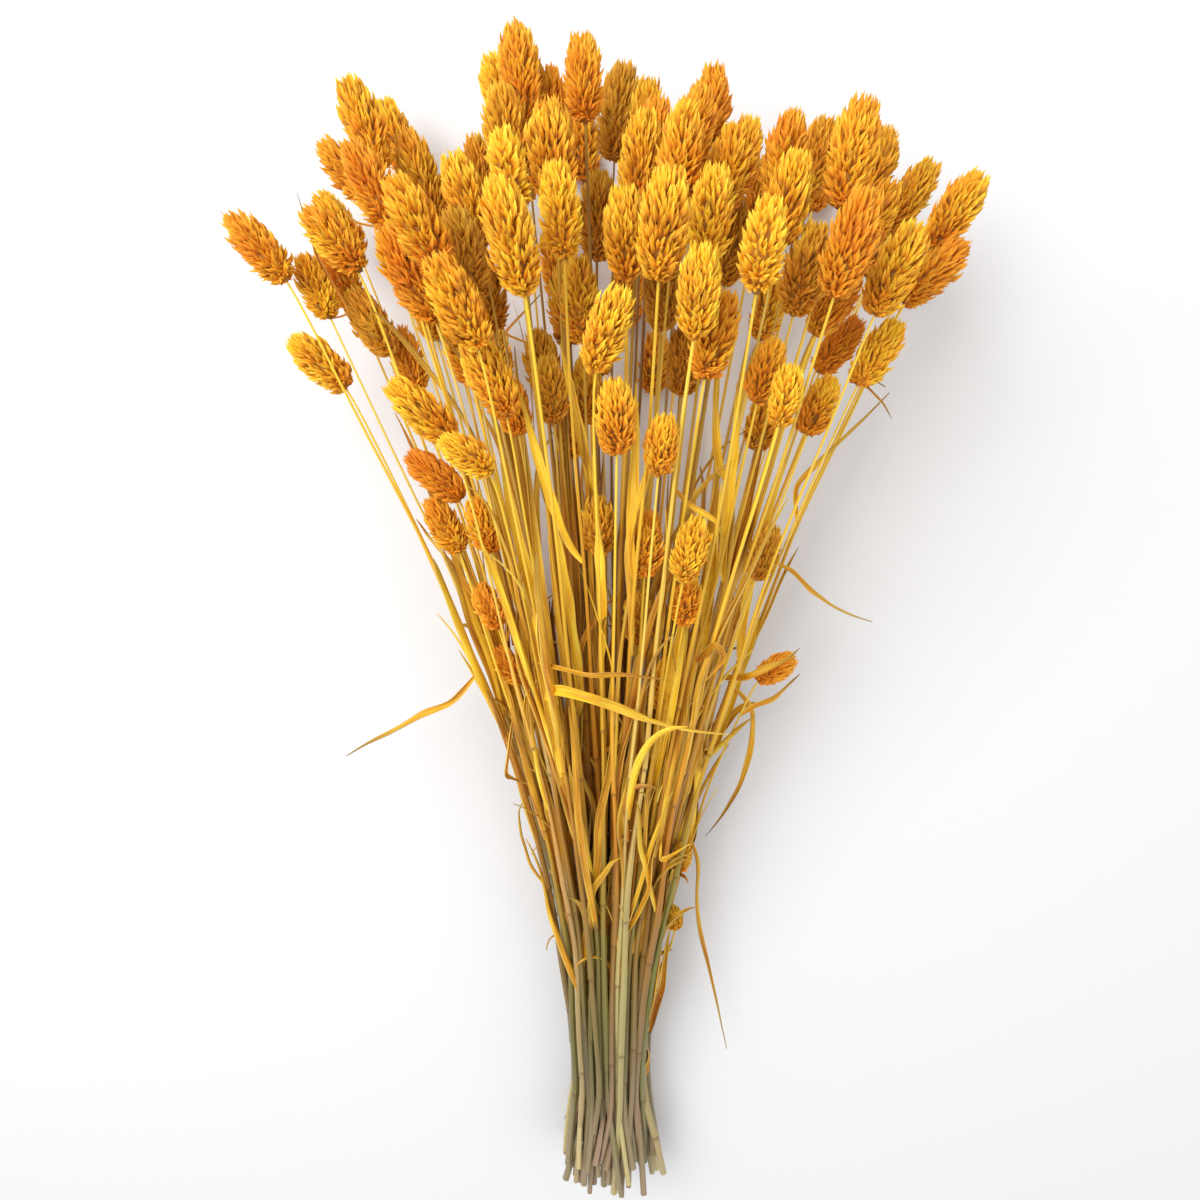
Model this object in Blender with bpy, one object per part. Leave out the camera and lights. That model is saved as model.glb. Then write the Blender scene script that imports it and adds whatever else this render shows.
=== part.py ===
# Dried canary grass: a loose bunch of dyed stems, each with one seed head, lying on its side.
# Heads point along +Y, cut ends along -Y, +X is the photograph's right, and the surface is z = 0.

import math

import bmesh
import bpy
import numpy as np

for thing in list(bpy.data.objects):
    bpy.data.objects.remove(thing, do_unlink=True)

# Driving dimensions, in metres
bunchShift = np.array([-0.0035, -0.1274, 0.0])  # puts the middle of the bunch over the origin
cutEnd = -0.142  # mean place of the cut ends along the bunch, from the neck
cutSpread = 0.012  # how far the cut ends lie from that on either side
crossFrom = -0.118  # a pair of stems crosses somewhere between these two places
crossTo = -0.098
crossReach = 0.010  # the pair is clear of each other this far from where it crosses
waist = -0.070  # where the bunch is narrowest
waistReach = 0.076  # larger makes the waist wider
waistMiddle = np.array([0.006, 0.013])  # across and up
squeeze = 0.0020  # how firmly the stems are drawn together at the waist
fanReach = np.array([0.255, 0.20])  # sideways and up: smaller gathers the outer stems at the waist
stemLow = 0.00155  # stem radius at the cut end
stemHigh = 0.00095  # stem radius under the head
clearance = 0.00045  # least space between two nodes
headSink = 0.0015  # how deep the lowest heads are cut by the surface
stemSink = 0.0004
lyingBelow = 12  # heads under this height, in millimetres, lie along the surface
headLength = 0.0335
headWidth = 0.0164
scaleStand = 0.26  # how far a scale stands out, as a share of the head's radius
stemTurns = 6  # straight lengths in one stem
bladeThick = 0.0007
rootLift = 0.0002  # a blade starts this far over the middle of its stem

# The photograph's view of the bunch, from which heads and blades are placed
eye = np.array([0.0, 0.276, 0.448])
eyeTilt = math.radians(10)
eyeFocal = 900.0  # pixels
frameMiddle = 600.0  # pixels

# Every head: its middle in the photograph (column and row in pixels), its height over the surface in
# millimetres, its lean to the right in degrees, and its size as a share of headLength.
heads = [
    (263, 287, 95, -42, 0.93), (313, 325, 82, -23, 0.78), (320, 399, 72, -50, 0.90),
    (367, 166, 100, -20, 0.98), (344, 212, 70, -42, 0.86), (371, 226, 118, -25, 0.95),
    (420, 215, 92, -18, 0.96), (334, 279, 88, -42, 0.92), (340, 313, 58, -26, 0.95),
    (414, 263, 152, -29, 0.96), (388, 311, 136, -29, 1.02), (455, 341, 160, -26, 0.92),
    (370, 359, 74, -32, 0.88), (409, 397, 60, -16, 0.85), (480, 212, 58, -8, 0.85),
    (463, 236, 112, -18, 0.95), (468, 294, 118, -12, 0.95), (487, 329, 92, -10, 0.90),
    (511, 274, 165, -14, 1.00), (513, 214, 138, -8, 0.80), (526, 119, 96, -5, 1.00),
    (502, 137, 74, -13, 0.90), (517, 176, 112, -9, 0.92), (549, 149, 92, -8, 0.95),
    (557, 193, 122, -5, 1.00), (584, 122, 108, -2, 0.84), (560, 250, 144, -6, 0.88),
    (598, 256, 78, 2, 1.00), (567, 343, 84, -5, 0.90), (482, 412, 142, -25, 0.90),
    (541, 398, 92, -8, 0.75), (549, 426, 114, -6, 0.75), (581, 427, 100, -1, 0.75),
    (619, 154, 60, 7, 1.12), (645, 158, 76, 6, 0.80), (641, 200, 112, 4, 0.95),
    (653, 181, 92, 6, 0.88), (683, 196, 126, 6, 0.97), (710, 148, 80, 4, 0.85),
    (700, 170, 102, 9, 0.92), (741, 196, 82, 13, 0.84), (722, 213, 112, 9, 0.90),
    (783, 202, 112, 8, 0.98), (815, 198, 76, 13, 0.88), (850, 194, 132, 9, 1.02),
    (874, 206, 62, 18, 0.92), (792, 237, 136, 8, 0.86), (663, 264, 158, 4, 0.97),
    (625, 271, 134, -3, 0.86), (704, 254, 130, 5, 0.92), (758, 284, 165, 5, 0.84),
    (796, 306, 138, 12, 0.92), (730, 280, 98, 6, 0.92), (691, 327, 165, 3, 0.82),
    (663, 328, 110, 1, 0.85), (621, 365, 160, 20, 0.82), (726, 371, 148, 12, 0.88),
    (850, 282, 150, 13, 1.00), (880, 254, 90, 24, 0.85), (834, 341, 110, 34, 0.76),
    (838, 383, 86, 38, 0.78), (871, 390, 102, 30, 0.82), (766, 407, 128, 13, 0.68),
    (786, 432, 140, 8, 0.64), (895, 307, 128, 22, 0.96), (579, 340, 112, -4, 0.90),
    (613, 453, 150, -2, 0.76), (684, 396, 92, 3, 0.84), (909, 236, 60, 30, 0.95),
    (953, 252, 85, 31, 0.98), (933, 311, 96, 46, 0.92), (820, 441, 100, 20, 0.70),
    (764, 457, 96, 10, 0.72), (665, 480, 146, 5, 0.62), (423, 447, 126, -46, 0.88),
    (467, 491, 132, -57, 0.66), (430, 513, 94, -50, 0.82), (445, 562, 84, -28, 0.78),
    (481, 562, 100, -16, 0.70), (489, 641, 84, -24, 0.60), (507, 707, 68, -34, 0.62),
    (511, 442, 112, -12, 0.66), (578, 468, 96, -2, 0.64), (598, 561, 100, -1, 0.70),
    (647, 580, 108, 2, 0.80), (690, 585, 122, 10, 0.78), (642, 656, 96, -3, 0.68),
    (683, 638, 102, 6, 0.66), (463, 386, 108, -20, 0.84), (766, 588, 92, 14, 0.70),
    (776, 706, 66, 58, 0.60), (664, 723, 84, 9, 0.72), (682, 900, 52, 8, 0.48),
    (630, 967, 42, 14, 0.48), (674, 962, 38, -14, 0.42), (340, 262, 30, -36, 0.95),
    (398, 178, 26, -22, 1.00), (447, 262, 5.5, -16, 1.00), (520, 205, 30, -10, 1.00),
    (583, 186, 5.5, -4, 1.00), (640, 232, 30, 2, 1.00), (697, 206, 5.5, 7, 1.00),
    (762, 232, 28, 12, 1.00), (822, 214, 5.5, 18, 1.00), (882, 285, 26, 26, 0.95),
    (556, 300, 5.5, -6, 1.00), (627, 330, 5.5, 1, 1.00), (702, 305, 5.5, 8, 1.00),
    (768, 345, 26, 14, 0.95), (424, 345, 5.5, -22, 0.95), (496, 390, 28, -12, 0.90),
    (828, 305, 5.5, 20, 1.00), (655, 400, 5.5, 4, 0.90), (600, 380, 30, -3, 0.90),
]

# Blades that run along the bunch: column and row of root and tip, height of both over the surface in
# millimetres, and width in millimetres.
alongBlades = [
    ((541, 690), (500, 500), 84, 118, 6.5), ((590, 760), (556, 560), 72, 112, 6.0),
    ((610, 700), (592, 490), 88, 130, 5.5), ((655, 760), (662, 545), 76, 120, 6.0),
    ((700, 720), (722, 520), 78, 118, 6.5), ((735, 700), (790, 480), 66, 104, 6.0),
    ((565, 840), (532, 640), 54, 86, 5.0), ((615, 850), (612, 640), 56, 96, 5.5),
    ((665, 850), (690, 640), 54, 94, 5.5), ((715, 620), (752, 420), 96, 128, 5.0),
    ((560, 600), (520, 430), 104, 124, 5.0), ((640, 620), (636, 420), 108, 134, 5.0),
    ((520, 760), (470, 600), 44, 66, 5.0), ((725, 800), (765, 630), 44, 72, 5.0),
    ((690, 905), (706, 750), 44, 66, 5.0), ((580, 930), (560, 770), 38, 60, 5.0),
    ((708, 520), (718, 392), 110, 126, 4.5), ((600, 540), (560, 380), 112, 128, 4.5),
]

# Blades that leave the bunch: column, row and height in millimetres of each bend, root first, the width
# in millimetres, and whether the blade lies over the bunch or beside it.
looseBlades = [
    ([(505, 716, 66), (450, 743, 65), (420, 753, 62), (390, 770, 57),
      (362, 784, 52), (341, 797, 48)], 5.0, False),
    ([(570, 730, 106), (592, 724, 96), (615, 741, 97), (645, 757, 96),
      (680, 769, 94), (712, 774, 90), (731, 775, 86)], 6.0, True),
    ([(725, 722, 76), (750, 716, 84), (773, 705, 86), (791, 698, 84), (803, 686, 80)], 5.0, False),
    ([(722, 752, 58), (755, 746, 60), (778, 738, 60), (792, 724, 60), (803, 713, 62)], 4.0, False),
    ([(735, 722, 58), (757, 748, 52), (754, 790, 46), (743, 828, 40),
      (724, 860, 34), (708, 880, 30)], 4.5, False),
    ([(690, 880, 40), (703, 905, 37), (699, 940, 31), (702, 975, 27),
      (712, 1015, 22), (722, 1058, 18), (731, 1102, 14)], 4.0, False),
    ([(540, 945, 22), (529, 912, 24), (519, 880, 26), (516, 852, 29), (525, 838, 32)], 3.2, False),
    ([(760, 560, 88), (796, 522, 90), (816, 503, 90), (838, 482, 88),
      (864, 457, 88), (890, 430, 90)], 3.6, False),
    ([(765, 600, 70), (794, 607, 70), (813, 628, 68), (836, 645, 66),
      (856, 654, 66), (876, 660, 66)], 3.4, False),
]


def fromPhoto(column, row, height):
    # The place at this height over the surface that the photograph shows at this pixel.
    forward = np.array([0.0, -math.sin(eyeTilt), -math.cos(eyeTilt)])
    upward = np.array([0.0, math.cos(eyeTilt), -math.sin(eyeTilt)])
    ray = forward + upward * (frameMiddle - row) / eyeFocal
    ray[0] = (column - frameMiddle) / eyeFocal
    return eye + ray * (height - eye[2]) / ray[2]


def spread(along):
    # How far the fan of stems has opened at this place along the bunch.
    return np.sqrt((along - waist) ** 2 + waistReach**2)


def middleHeight(along):
    # Height of the middle of the bunch over the surface.
    return 0.0145 + 0.066 * np.clip((along - waist) / 0.40, 0, 1) ** 1.15


def headSet():
    # Base, axis, length and radius of every head.
    rng = np.random.default_rng(11)
    bases, axes, lengths, radii = [], [], [], []
    for column, row, height, lean, size in heads:
        middle = fromPhoto(column, row, height / 1000)
        length = headLength * size
        away = middle[1] - waist
        rise = 1.25 * (middle[2] - middleHeight(middle[1])) / away
        rise = float(np.clip(rise + rng.uniform(-0.08, 0.08), -0.5, 0.75)) * (height >= lyingBelow)
        side = math.tan(math.radians(lean))
        axis = np.array([side, 1.0, rise])
        axis /= np.linalg.norm(axis)
        bases.append(middle - axis * length / 2)
        axes.append(axis)
        lengths.append(length)
        radii.append(headWidth / 2 * (0.35 + 0.65 * size) * rng.uniform(0.95, 1.05))
    return np.array(bases), np.array(axes), np.array(lengths), np.array(radii)


def pairUp(fan):
    # Each stem with its nearest free neighbour in the fan, the outermost first.
    free = list(np.argsort(-np.hypot(fan[:, 0], fan[:, 1])))
    pairs = []
    while free:
        first = free.pop(0)
        gaps = np.hypot(*(fan[free] - fan[first]).T)
        pairs.append((first, free.pop(int(np.argmin(gaps)))))
    return pairs


def nearPairs(places, reach, node, meeting, margin):
    # Strands that pass close to each other at a station, other than where two of one node join.
    found = []
    for station in range(places.shape[1]):
        here = np.flatnonzero(reach[:, station] > 0)
        apart = places[here, station][:, None] - places[here, station][None]
        gap = np.hypot(apart[..., 0], apart[..., 1])
        touch = reach[here, station][:, None] + reach[here, station][None] + margin
        joins = meeting[here, station][:, None] | meeting[here, station][None]
        joins &= node[here][:, None] == node[here][None]
        close = np.triu((gap < touch) & ~joins, 1)
        i, j = np.nonzero(close)
        found.append(np.stack([here[i], here[j], np.full(len(i), station)]))
    return np.concatenate(found, axis=1)


def layOut():
    # The control points of every stem and along-blade, moved apart until nothing crosses.
    rng = np.random.default_rng(7)
    bases, axes, lengths, radii = headSet()
    stems = len(heads)
    fan = np.stack([bases[:, 0] - 0.006, bases[:, 2] - middleHeight(bases[:, 1])], axis=1)
    fan /= spread(bases[:, 1])[:, None]
    gathered = np.tanh(fan / fanReach) * fanReach
    pairs = pairUp(fan)
    bends = stemTurns + 1
    steps = np.linspace(0, 1, bends - 2)

    total = stems + len(alongBlades)
    control = np.zeros((total, bends, 3))
    node = np.zeros(total, int)
    meet = np.zeros(total)
    for number, (one, other) in enumerate(pairs):
        node[[one, other]] = number
        crossing = rng.uniform(crossFrom, crossTo)
        meet[[one, other]] = crossing
        for strand, mate in ((one, other), (other, one)):
            start = crossing + 2 * crossReach
            last = bases[strand, 1]
            along = np.concatenate([[cutEnd + rng.uniform(-cutSpread, cutSpread)], [crossing],
                                    start + (last - start) * steps])
            opened = ((along - crossing) / (last - crossing))[:, None].clip(0, 1) ** 2
            at = (gathered[strand] + (fan[strand] - gathered[strand]) * opened) * spread(along)[:, None]
            at[0] = gathered[mate] * spread(along[0])
            at[1] = (gathered[strand] * 0.56 + gathered[mate] * 0.44) * spread(along[1])
            at[:, 1] += middleHeight(along)
            at[:, 0] += 0.006
            control[strand] = np.stack([at[:, 0], along, at[:, 1]], axis=1)
            control[strand, -1] = bases[strand]
    for number, (root, tip, low, high, width) in enumerate(alongBlades):
        start = fromPhoto(*root, low / 1000)
        end = fromPhoto(*tip, high / 1000)
        share = np.append(0, np.linspace(0.1, 1, bends - 1))[:, None]
        control[stems + number] = start + (end - start) * share
        meet[stems + number] = start[1]

    # A blade grows from the stem that passes nearest to its root.
    parent = np.arange(total)
    for blade in range(stems, total):
        root = control[blade, 0]
        at = np.array([[np.interp(root[1], c[:, 1], c[:, 0]), np.interp(root[1], c[:, 1], c[:, 2])]
                       for c in control[:stems]])
        gap = np.hypot(at[:, 0] - root[0], at[:, 1] - root[2])
        gap[bases[:, 1] < root[1] + 0.03] = 1
        gap[np.isin(node[:stems], node[stems:blade])] += 0.02
        parent[blade] = int(np.argmin(gap))
        node[blade] = node[parent[blade]]

    stations = np.arange(cutEnd - cutSpread, control[:, -1, 1].max() + 0.04, 0.006)
    weight = np.zeros((total, len(stations), bends))
    beyond = np.zeros((total, len(stations), 2))
    reach = np.full((total, len(stations)), -1.0)
    for strand in range(total):
        knots = control[strand, :, 1]
        onStem = (stations >= knots[0] - 0.003) & (stations <= knots[-1] + 0.003)
        for bend in range(bends):
            weight[strand, onStem, bend] = np.interp(stations[onStem], knots, np.eye(bends)[bend])
        share = np.clip((stations - knots[0]) / (knots[-1] - knots[0]), 0, 1)
        slant = np.hypot(1, np.abs(np.gradient(control[strand, :, 0]) / np.gradient(knots)).max())
        if strand < stems:
            reach[strand, onStem] = ((stemLow + (stemHigh - stemLow) * share) * slant)[onStem]
            axis, length = axes[strand], lengths[strand]
            up = (stations - knots[-1]) / (axis[1] * length)
            onHead = (up > -0.05) & (up < 1.1)
            weight[strand, onHead] = np.eye(bends)[-1]
            beyond[strand, onHead] = np.outer(stations[onHead] - knots[-1], axis[[0, 2]] / axis[1])
            shape = np.sqrt(np.clip(np.sin(np.pi * np.clip(up * 0.86 + 0.12, 0, 1)), 0.05, 1))
            reach[strand, onHead] = (radii[strand] * shape / axis[1])[onHead]
        else:
            reach[strand, onStem] = 0.0019

    meeting = np.abs(stations[None] - meet[:, None]) < crossReach
    target = control[..., [0, 2]].copy()
    place = target.copy()
    keep = np.full((total, bends, 1), 0.006)
    keep[:stems, -1] = 0.05
    keep[stems:] = 0.02
    yieldShare = np.where(weight[..., -1] > 0.99, 0.25, 1.0)
    rounds = 520
    for turn in range(rounds):
        places = np.einsum("nfk,nkc->nfc", weight, place) + beyond
        if turn % 10 == 0:
            one, other, station = nearPairs(places, reach, node, meeting, 0.004)
        apart = places[one, station] - places[other, station]
        gap = np.maximum(np.hypot(apart[:, 0], apart[:, 1]), 1e-5)
        over = np.maximum(reach[one, station] + reach[other, station] + clearance - gap, 0)
        move = apart * (over / gap)[:, None] * np.array([0.8, 1.2])
        softOne = yieldShare[one, station]
        softOther = yieldShare[other, station]
        shareOne = (softOne / (softOne + softOther))[:, None]
        push = np.zeros_like(places)
        hit = np.zeros(reach.shape)
        np.add.at(push, (one, station), move * shareOne)
        np.add.at(push, (other, station), -move * (1 - shareOne))
        np.add.at(hit, (one, station), over > 0)
        np.add.at(hit, (other, station), over > 0)
        touched = np.einsum("nfk,nf->nk", weight, np.minimum(hit, 1.0))
        shift = np.einsum("nfk,nfc->nkc", weight, push) / np.maximum(touched, 0.7)[..., None]
        place += 0.9 * shift
        calm = max(0.0, 1 - turn / (0.75 * rounds))
        place += keep * calm * (target - place)
        off = place - target
        off[:, 1:-1] += 0.12 * calm * (0.5 * (off[:, :-2] + off[:, 2:]) - off[:, 1:-1])
        place = target + off
        if turn < 0.9 * rounds:
            place[:stems, 2] += squeeze * (waistMiddle - place[:stems, 2])
        ones, others = np.array(pairs).T
        half = np.clip((place[ones, 1] - place[others, 1]) / 2, -0.0003, 0.0003)
        middle = (place[ones, 1] + place[others, 1]) / 2
        place[ones, 1] = middle + half
        place[others, 1] = middle - half
        place[:stems, :, 1] = np.maximum(place[:stems, :, 1], stemLow - stemSink)
        onHead = weight[:stems, :, -1] > 0.99
        lowest = np.min(np.where(onHead, beyond[:stems, :, 1] - reach[:stems], 1), axis=1)
        place[:stems, -1, 1] = np.maximum(place[:stems, -1, 1], -headSink - lowest)
        for blade in range(stems, total):
            stem = control[parent[blade]]
            root = control[blade, 0, 1]
            for side in (0, 1):
                place[blade, 0, side] = np.interp(root, stem[:, 1], place[parent[blade], :, side])
    control[..., [0, 2]] = place
    places = np.einsum("nfk,nkc->nfc", weight, place) + beyond
    return control, node, axes, lengths, radii, pairs, (stations, places, reach)


def stemRing(count, turn):
    angles = turn + np.arange(count) * 2 * np.pi / count
    return np.stack([np.cos(angles), np.sin(angles)], axis=1)


def tube(points, radii, profile):
    # A closed prism along the points: each profile corner is carried square to the path.
    ahead = np.gradient(points, axis=0)
    ahead /= np.linalg.norm(ahead, axis=1)[:, None]
    side = np.cross(ahead, [0.0, 0.0, 1.0])
    side /= np.linalg.norm(side, axis=1)[:, None]
    top = np.cross(side, ahead)
    corners = len(profile)
    rings = (points[:, None] + side[:, None] * (profile[None, :, :1] * radii[:, None, :1])
             + top[:, None] * (profile[None, :, 1:] * radii[:, None, 1:]))
    vertices = rings.reshape(-1, 3)
    faces = []
    for ring in range(len(points) - 1):
        for corner in range(corners):
            a = ring * corners + corner
            b = ring * corners + (corner + 1) % corners
            faces.append((a, b, b + corners))
            faces.append((a, b + corners, a + corners))
    last = (len(points) - 1) * corners
    for corner in range(1, corners - 1):
        faces.append((0, corner + 1, corner))
        faces.append((last, last + corner, last + corner + 1))
    return vertices, faces


def strandMesh(points, radii, turn, axis, length, radius, rows, sectors):
    # A three-sided stem that runs on into its head: staggered rhombi on an egg-shaped core, each raised
    # to a point that overhangs its upper corner.
    stem, faces = tube(points, np.stack([radii, radii], 1), stemRing(3, turn))
    faces = [face for face in faces if min(face) < len(stem) - 3]
    base = points[-1]
    core = radius * (1 - scaleStand)
    levels = rows + 2
    at = np.linspace(0.05, 0.93, levels)
    wide = core * np.sin(np.pi * at**0.80) ** 0.62
    side = np.cross(axis, [0.0, 0.0, 1.0])
    side /= np.linalg.norm(side)
    top = np.cross(side, axis)
    first = len(stem)
    sector = 2 * math.pi / sectors

    def spot(share, angle, out):
        return base + axis * (share * length) + (side * math.cos(angle) + top * math.sin(angle)) * out

    def corner(level, s):
        return first + level * sectors + s % sectors

    vertices = list(stem)
    for level in range(levels):
        for s in range(sectors):
            vertices.append(spot(at[level], turn + sector * (s + 0.5 * (level % 2)), wide[level]))
    tip = len(vertices)
    vertices.append(base + axis * length)

    # The last ring of the stem meets the first ring of the head.
    a, b = 0, 0
    while a < 3 or b < sectors:
        if a < 3 and (b == sectors or (a + 0.5) / 3 <= (b + 0.5) / sectors):
            faces.append((first - 3 + a % 3, first - 3 + (a + 1) % 3, corner(0, b)))
            a += 1
        else:
            faces.append((corner(0, b), first - 3 + a % 3, corner(0, b + 1)))
            b += 1
    for row in range(rows):
        odd = row % 2
        for s in range(sectors):
            low, high = corner(row, s), corner(row + 2, s)
            left, right = corner(row + 1, s - 1 + odd), corner(row + 1, s + odd)
            share = at[row + 2] + 0.25 * (at[1] - at[0])
            out = wide[row + 2] * 0.9 + radius * scaleStand
            apex = len(vertices)
            vertices.append(spot(share, turn + sector * (s + 0.5 * odd), out))
            faces += [(low, right, apex), (right, high, apex), (high, left, apex), (left, low, apex)]
    last = levels - 1
    odd = last % 2
    for s in range(sectors):
        faces.append((corner(0, s), corner(0, s + 1), corner(1, s)))
        faces.append((corner(last, s), corner(last - 1, s + odd), corner(last, s + 1)))
        faces.append((corner(last, s), corner(last, s + 1), tip))
    return np.array(vertices), faces


def solid(name, vertices, faces):
    mesh = bpy.data.meshes.new(name)
    mesh.from_pydata([tuple(v) for v in vertices], [], faces)
    work = bmesh.new()
    work.from_mesh(mesh)
    bmesh.ops.recalc_face_normals(work, faces=work.faces)
    work.to_mesh(mesh)
    work.free()
    mesh.update()
    thing = bpy.data.objects.new(name, mesh)
    bpy.context.scene.collection.objects.link(thing)
    return thing


def material(name, colour, roughness):
    made = bpy.data.materials.new(name)
    made.use_nodes = True
    shader = made.node_tree.nodes["Principled BSDF"]
    shader.inputs["Base Color"].default_value = (*colour, 1)
    shader.inputs["Roughness"].default_value = roughness
    return made


def joined(name, pieces, solver="EXACT"):
    # One Boolean union of the first piece with all the others.
    first = pieces[0]
    first.name = name
    if len(pieces) > 1:
        group = bpy.data.collections.new(name)
        bpy.context.scene.collection.children.link(group)
        for other in pieces[1:]:
            bpy.context.scene.collection.objects.unlink(other)
            group.objects.link(other)
        union = first.modifiers.new("union", "BOOLEAN")
        union.operation = "UNION"
        union.operand_type = "COLLECTION"
        union.collection = group
        union.solver = solver
        bpy.context.view_layer.objects.active = first
        bpy.ops.object.modifier_apply(modifier=union.name)
        for other in list(group.objects):
            bpy.data.objects.remove(other, do_unlink=True)
        bpy.data.collections.remove(group)
    return first


def cutFlat(thing):
    # Takes off what lies under the surface, so that the piece has a flat spot to rest on.
    if min(v.co.z for v in thing.data.vertices) >= 0:
        return
    corners = np.array([(x, y, z) for x in (-1, 1) for y in (-1, 1) for z in (-0.1, 0)], float)
    sides = [(0, 1, 3, 2), (4, 6, 7, 5), (0, 4, 5, 1), (2, 3, 7, 6), (0, 2, 6, 4), (1, 5, 7, 3)]
    under = solid("under", corners, sides)
    cut = thing.modifiers.new("cut", "BOOLEAN")
    cut.operation = "DIFFERENCE"
    cut.object = under
    cut.solver = "EXACT"
    bpy.context.view_layer.objects.active = thing
    bpy.ops.object.modifier_apply(modifier=cut.name)
    bpy.data.objects.remove(under, do_unlink=True)


def looseBlade(bends, width, over, control, stems, free, cloud):
    # The route of a blade that leaves the bunch. One that lies over it starts inside the free stem nearest
    # to its root and is lifted clear of what it passes. One beside it starts inside the outermost stem.
    route = np.array([fromPhoto(column, row, height / 1000) for column, row, height in bends])
    root = route[0].copy()
    best = None
    for strand in range(stems):
        knots = control[strand, :, 1]
        if over and not free[strand] or not knots[0] < root[1] < knots[-1] - 0.01:
            continue
        at = np.array([np.interp(root[1], knots, control[strand, :, c]) for c in range(3)])
        gap = np.linalg.norm((at - root) * [1, 1, 0.7])
        if not over:
            gap = -abs(at[0]) if abs(at[2] - root[2]) < 0.008 and at[0] * root[0] > 0 else 1
        if best is None or gap < best[0]:
            best = (gap, strand, at)
    route[0] = best[2] + [0, 0, rootLift]
    stations, places, reach = cloud
    share = np.linspace(0, len(route) - 1, 8 * len(route))
    for turn in range(30 if over else 0):
        x, y, z = (np.interp(share, np.arange(len(route)), route[:, c]) for c in range(3))
        nearest = np.argmin(np.abs(stations[None] - y[:, None]), axis=1)
        under = places[:, nearest]
        room = reach[:, nearest]
        beside = np.abs(under[..., 0] - x) < room + width / 2000 + 0.0006
        need = np.where((room > 0) & beside & (under[..., 1] - room < z), under[..., 1] + room + 0.0016, 0)
        need[:, np.hypot(x - route[0, 0], y - route[0, 1]) < 0.0035] = 0
        short = np.maximum(need.max(axis=0) - z, 0)
        if short.max() < 1e-5:
            break
        for bend in range(1, len(route)):
            route[bend, 2] += 0.7 * short[np.abs(share - bend) < 1].max()
    return route, best[1]


control, node, axes, lengths, radii, pairs, cloud = layOut()
stemCount = len(heads)
rng = np.random.default_rng(23)
straw = (0.62, 0.42, 0.10)
pieces = {number: [] for number in range(len(pairs))}
for strand in range(stemCount):
    thick = stemLow + (stemHigh - stemLow) * np.linspace(0, 1, stemTurns + 1)
    column, row, height, lean, size = heads[strand]
    hidden = height < 59 or size < 0.65
    rows, sectors = (3, 4) if hidden else (3, 5) if height < 111 or size < 0.78 else (4, 5)
    low = height < lyingBelow or control[strand, 0, 2] < stemLow
    turn = -np.pi / 2 if low else rng.uniform(0, 2 * np.pi)
    made = strandMesh(control[strand] + bunchShift, thick, turn, axes[strand],
                      lengths[strand], radii[strand], rows, sectors)
    pieces[node[strand]].append(solid("stem", *made))

bladeShape = np.array([(-1.0, -0.5), (1.0, -0.5), (0.0, 0.6)])
for number, (root, tip, low, high, width) in enumerate(alongBlades):
    route = control[stemCount + number]
    share = np.linspace(0, 1, len(route))
    wide = width / 2000 * np.interp(share, [0, 0.15, 0.5, 1], [0.35, 0.8, 1.0, 0.3])
    size = np.stack([wide, np.full(len(wide), bladeThick)], 1)
    pieces[node[stemCount + number]].append(solid("blade", *tube(route + bunchShift, size, bladeShape)))
free = ~np.isin(node[:stemCount], node[stemCount:])
for bends, width, over in looseBlades:
    route, strand = looseBlade(bends, width, over, control, stemCount, free, cloud)
    free &= node[:stemCount] != node[strand]
    share = np.linspace(0, 1, len(route))
    wide = width / 2000 * np.interp(share, [0, 0.2, 0.6, 1], [0.4, 0.9, 1.0, 0.35])
    size = np.stack([wide, np.full(len(wide), bladeThick)], 1)
    pieces[node[strand]].append(solid("blade", *tube(route + bunchShift, size, bladeShape)))

for number in range(len(pairs)):
    name = f"stem_pair_{number + 1:02d}"
    thing = joined(name, pieces[number])
    cutFlat(thing)
    thing.data.materials.clear()
    thing.data.materials.append(material(name, straw, 0.7))
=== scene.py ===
# Dried canary grass, dyed golden orange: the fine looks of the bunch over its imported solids.
# Heads point along +Y, cut ends along -Y, and the bunch lies on z = 0.

import math

import bpy
import numpy as np
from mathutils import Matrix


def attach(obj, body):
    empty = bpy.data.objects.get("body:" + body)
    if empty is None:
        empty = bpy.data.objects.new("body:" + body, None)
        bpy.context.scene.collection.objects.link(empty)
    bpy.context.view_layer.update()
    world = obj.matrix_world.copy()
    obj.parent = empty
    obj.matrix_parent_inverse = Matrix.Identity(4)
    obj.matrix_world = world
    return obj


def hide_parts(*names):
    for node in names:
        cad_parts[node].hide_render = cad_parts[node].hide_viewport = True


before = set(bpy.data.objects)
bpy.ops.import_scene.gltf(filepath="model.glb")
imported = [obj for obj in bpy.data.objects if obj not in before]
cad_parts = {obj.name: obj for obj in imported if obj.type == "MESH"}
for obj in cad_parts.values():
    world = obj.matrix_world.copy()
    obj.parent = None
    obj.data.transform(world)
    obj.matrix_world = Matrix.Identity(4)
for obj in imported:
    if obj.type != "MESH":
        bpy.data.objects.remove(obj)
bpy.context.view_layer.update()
scene = bpy.context.scene
print("frame loaded")

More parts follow.
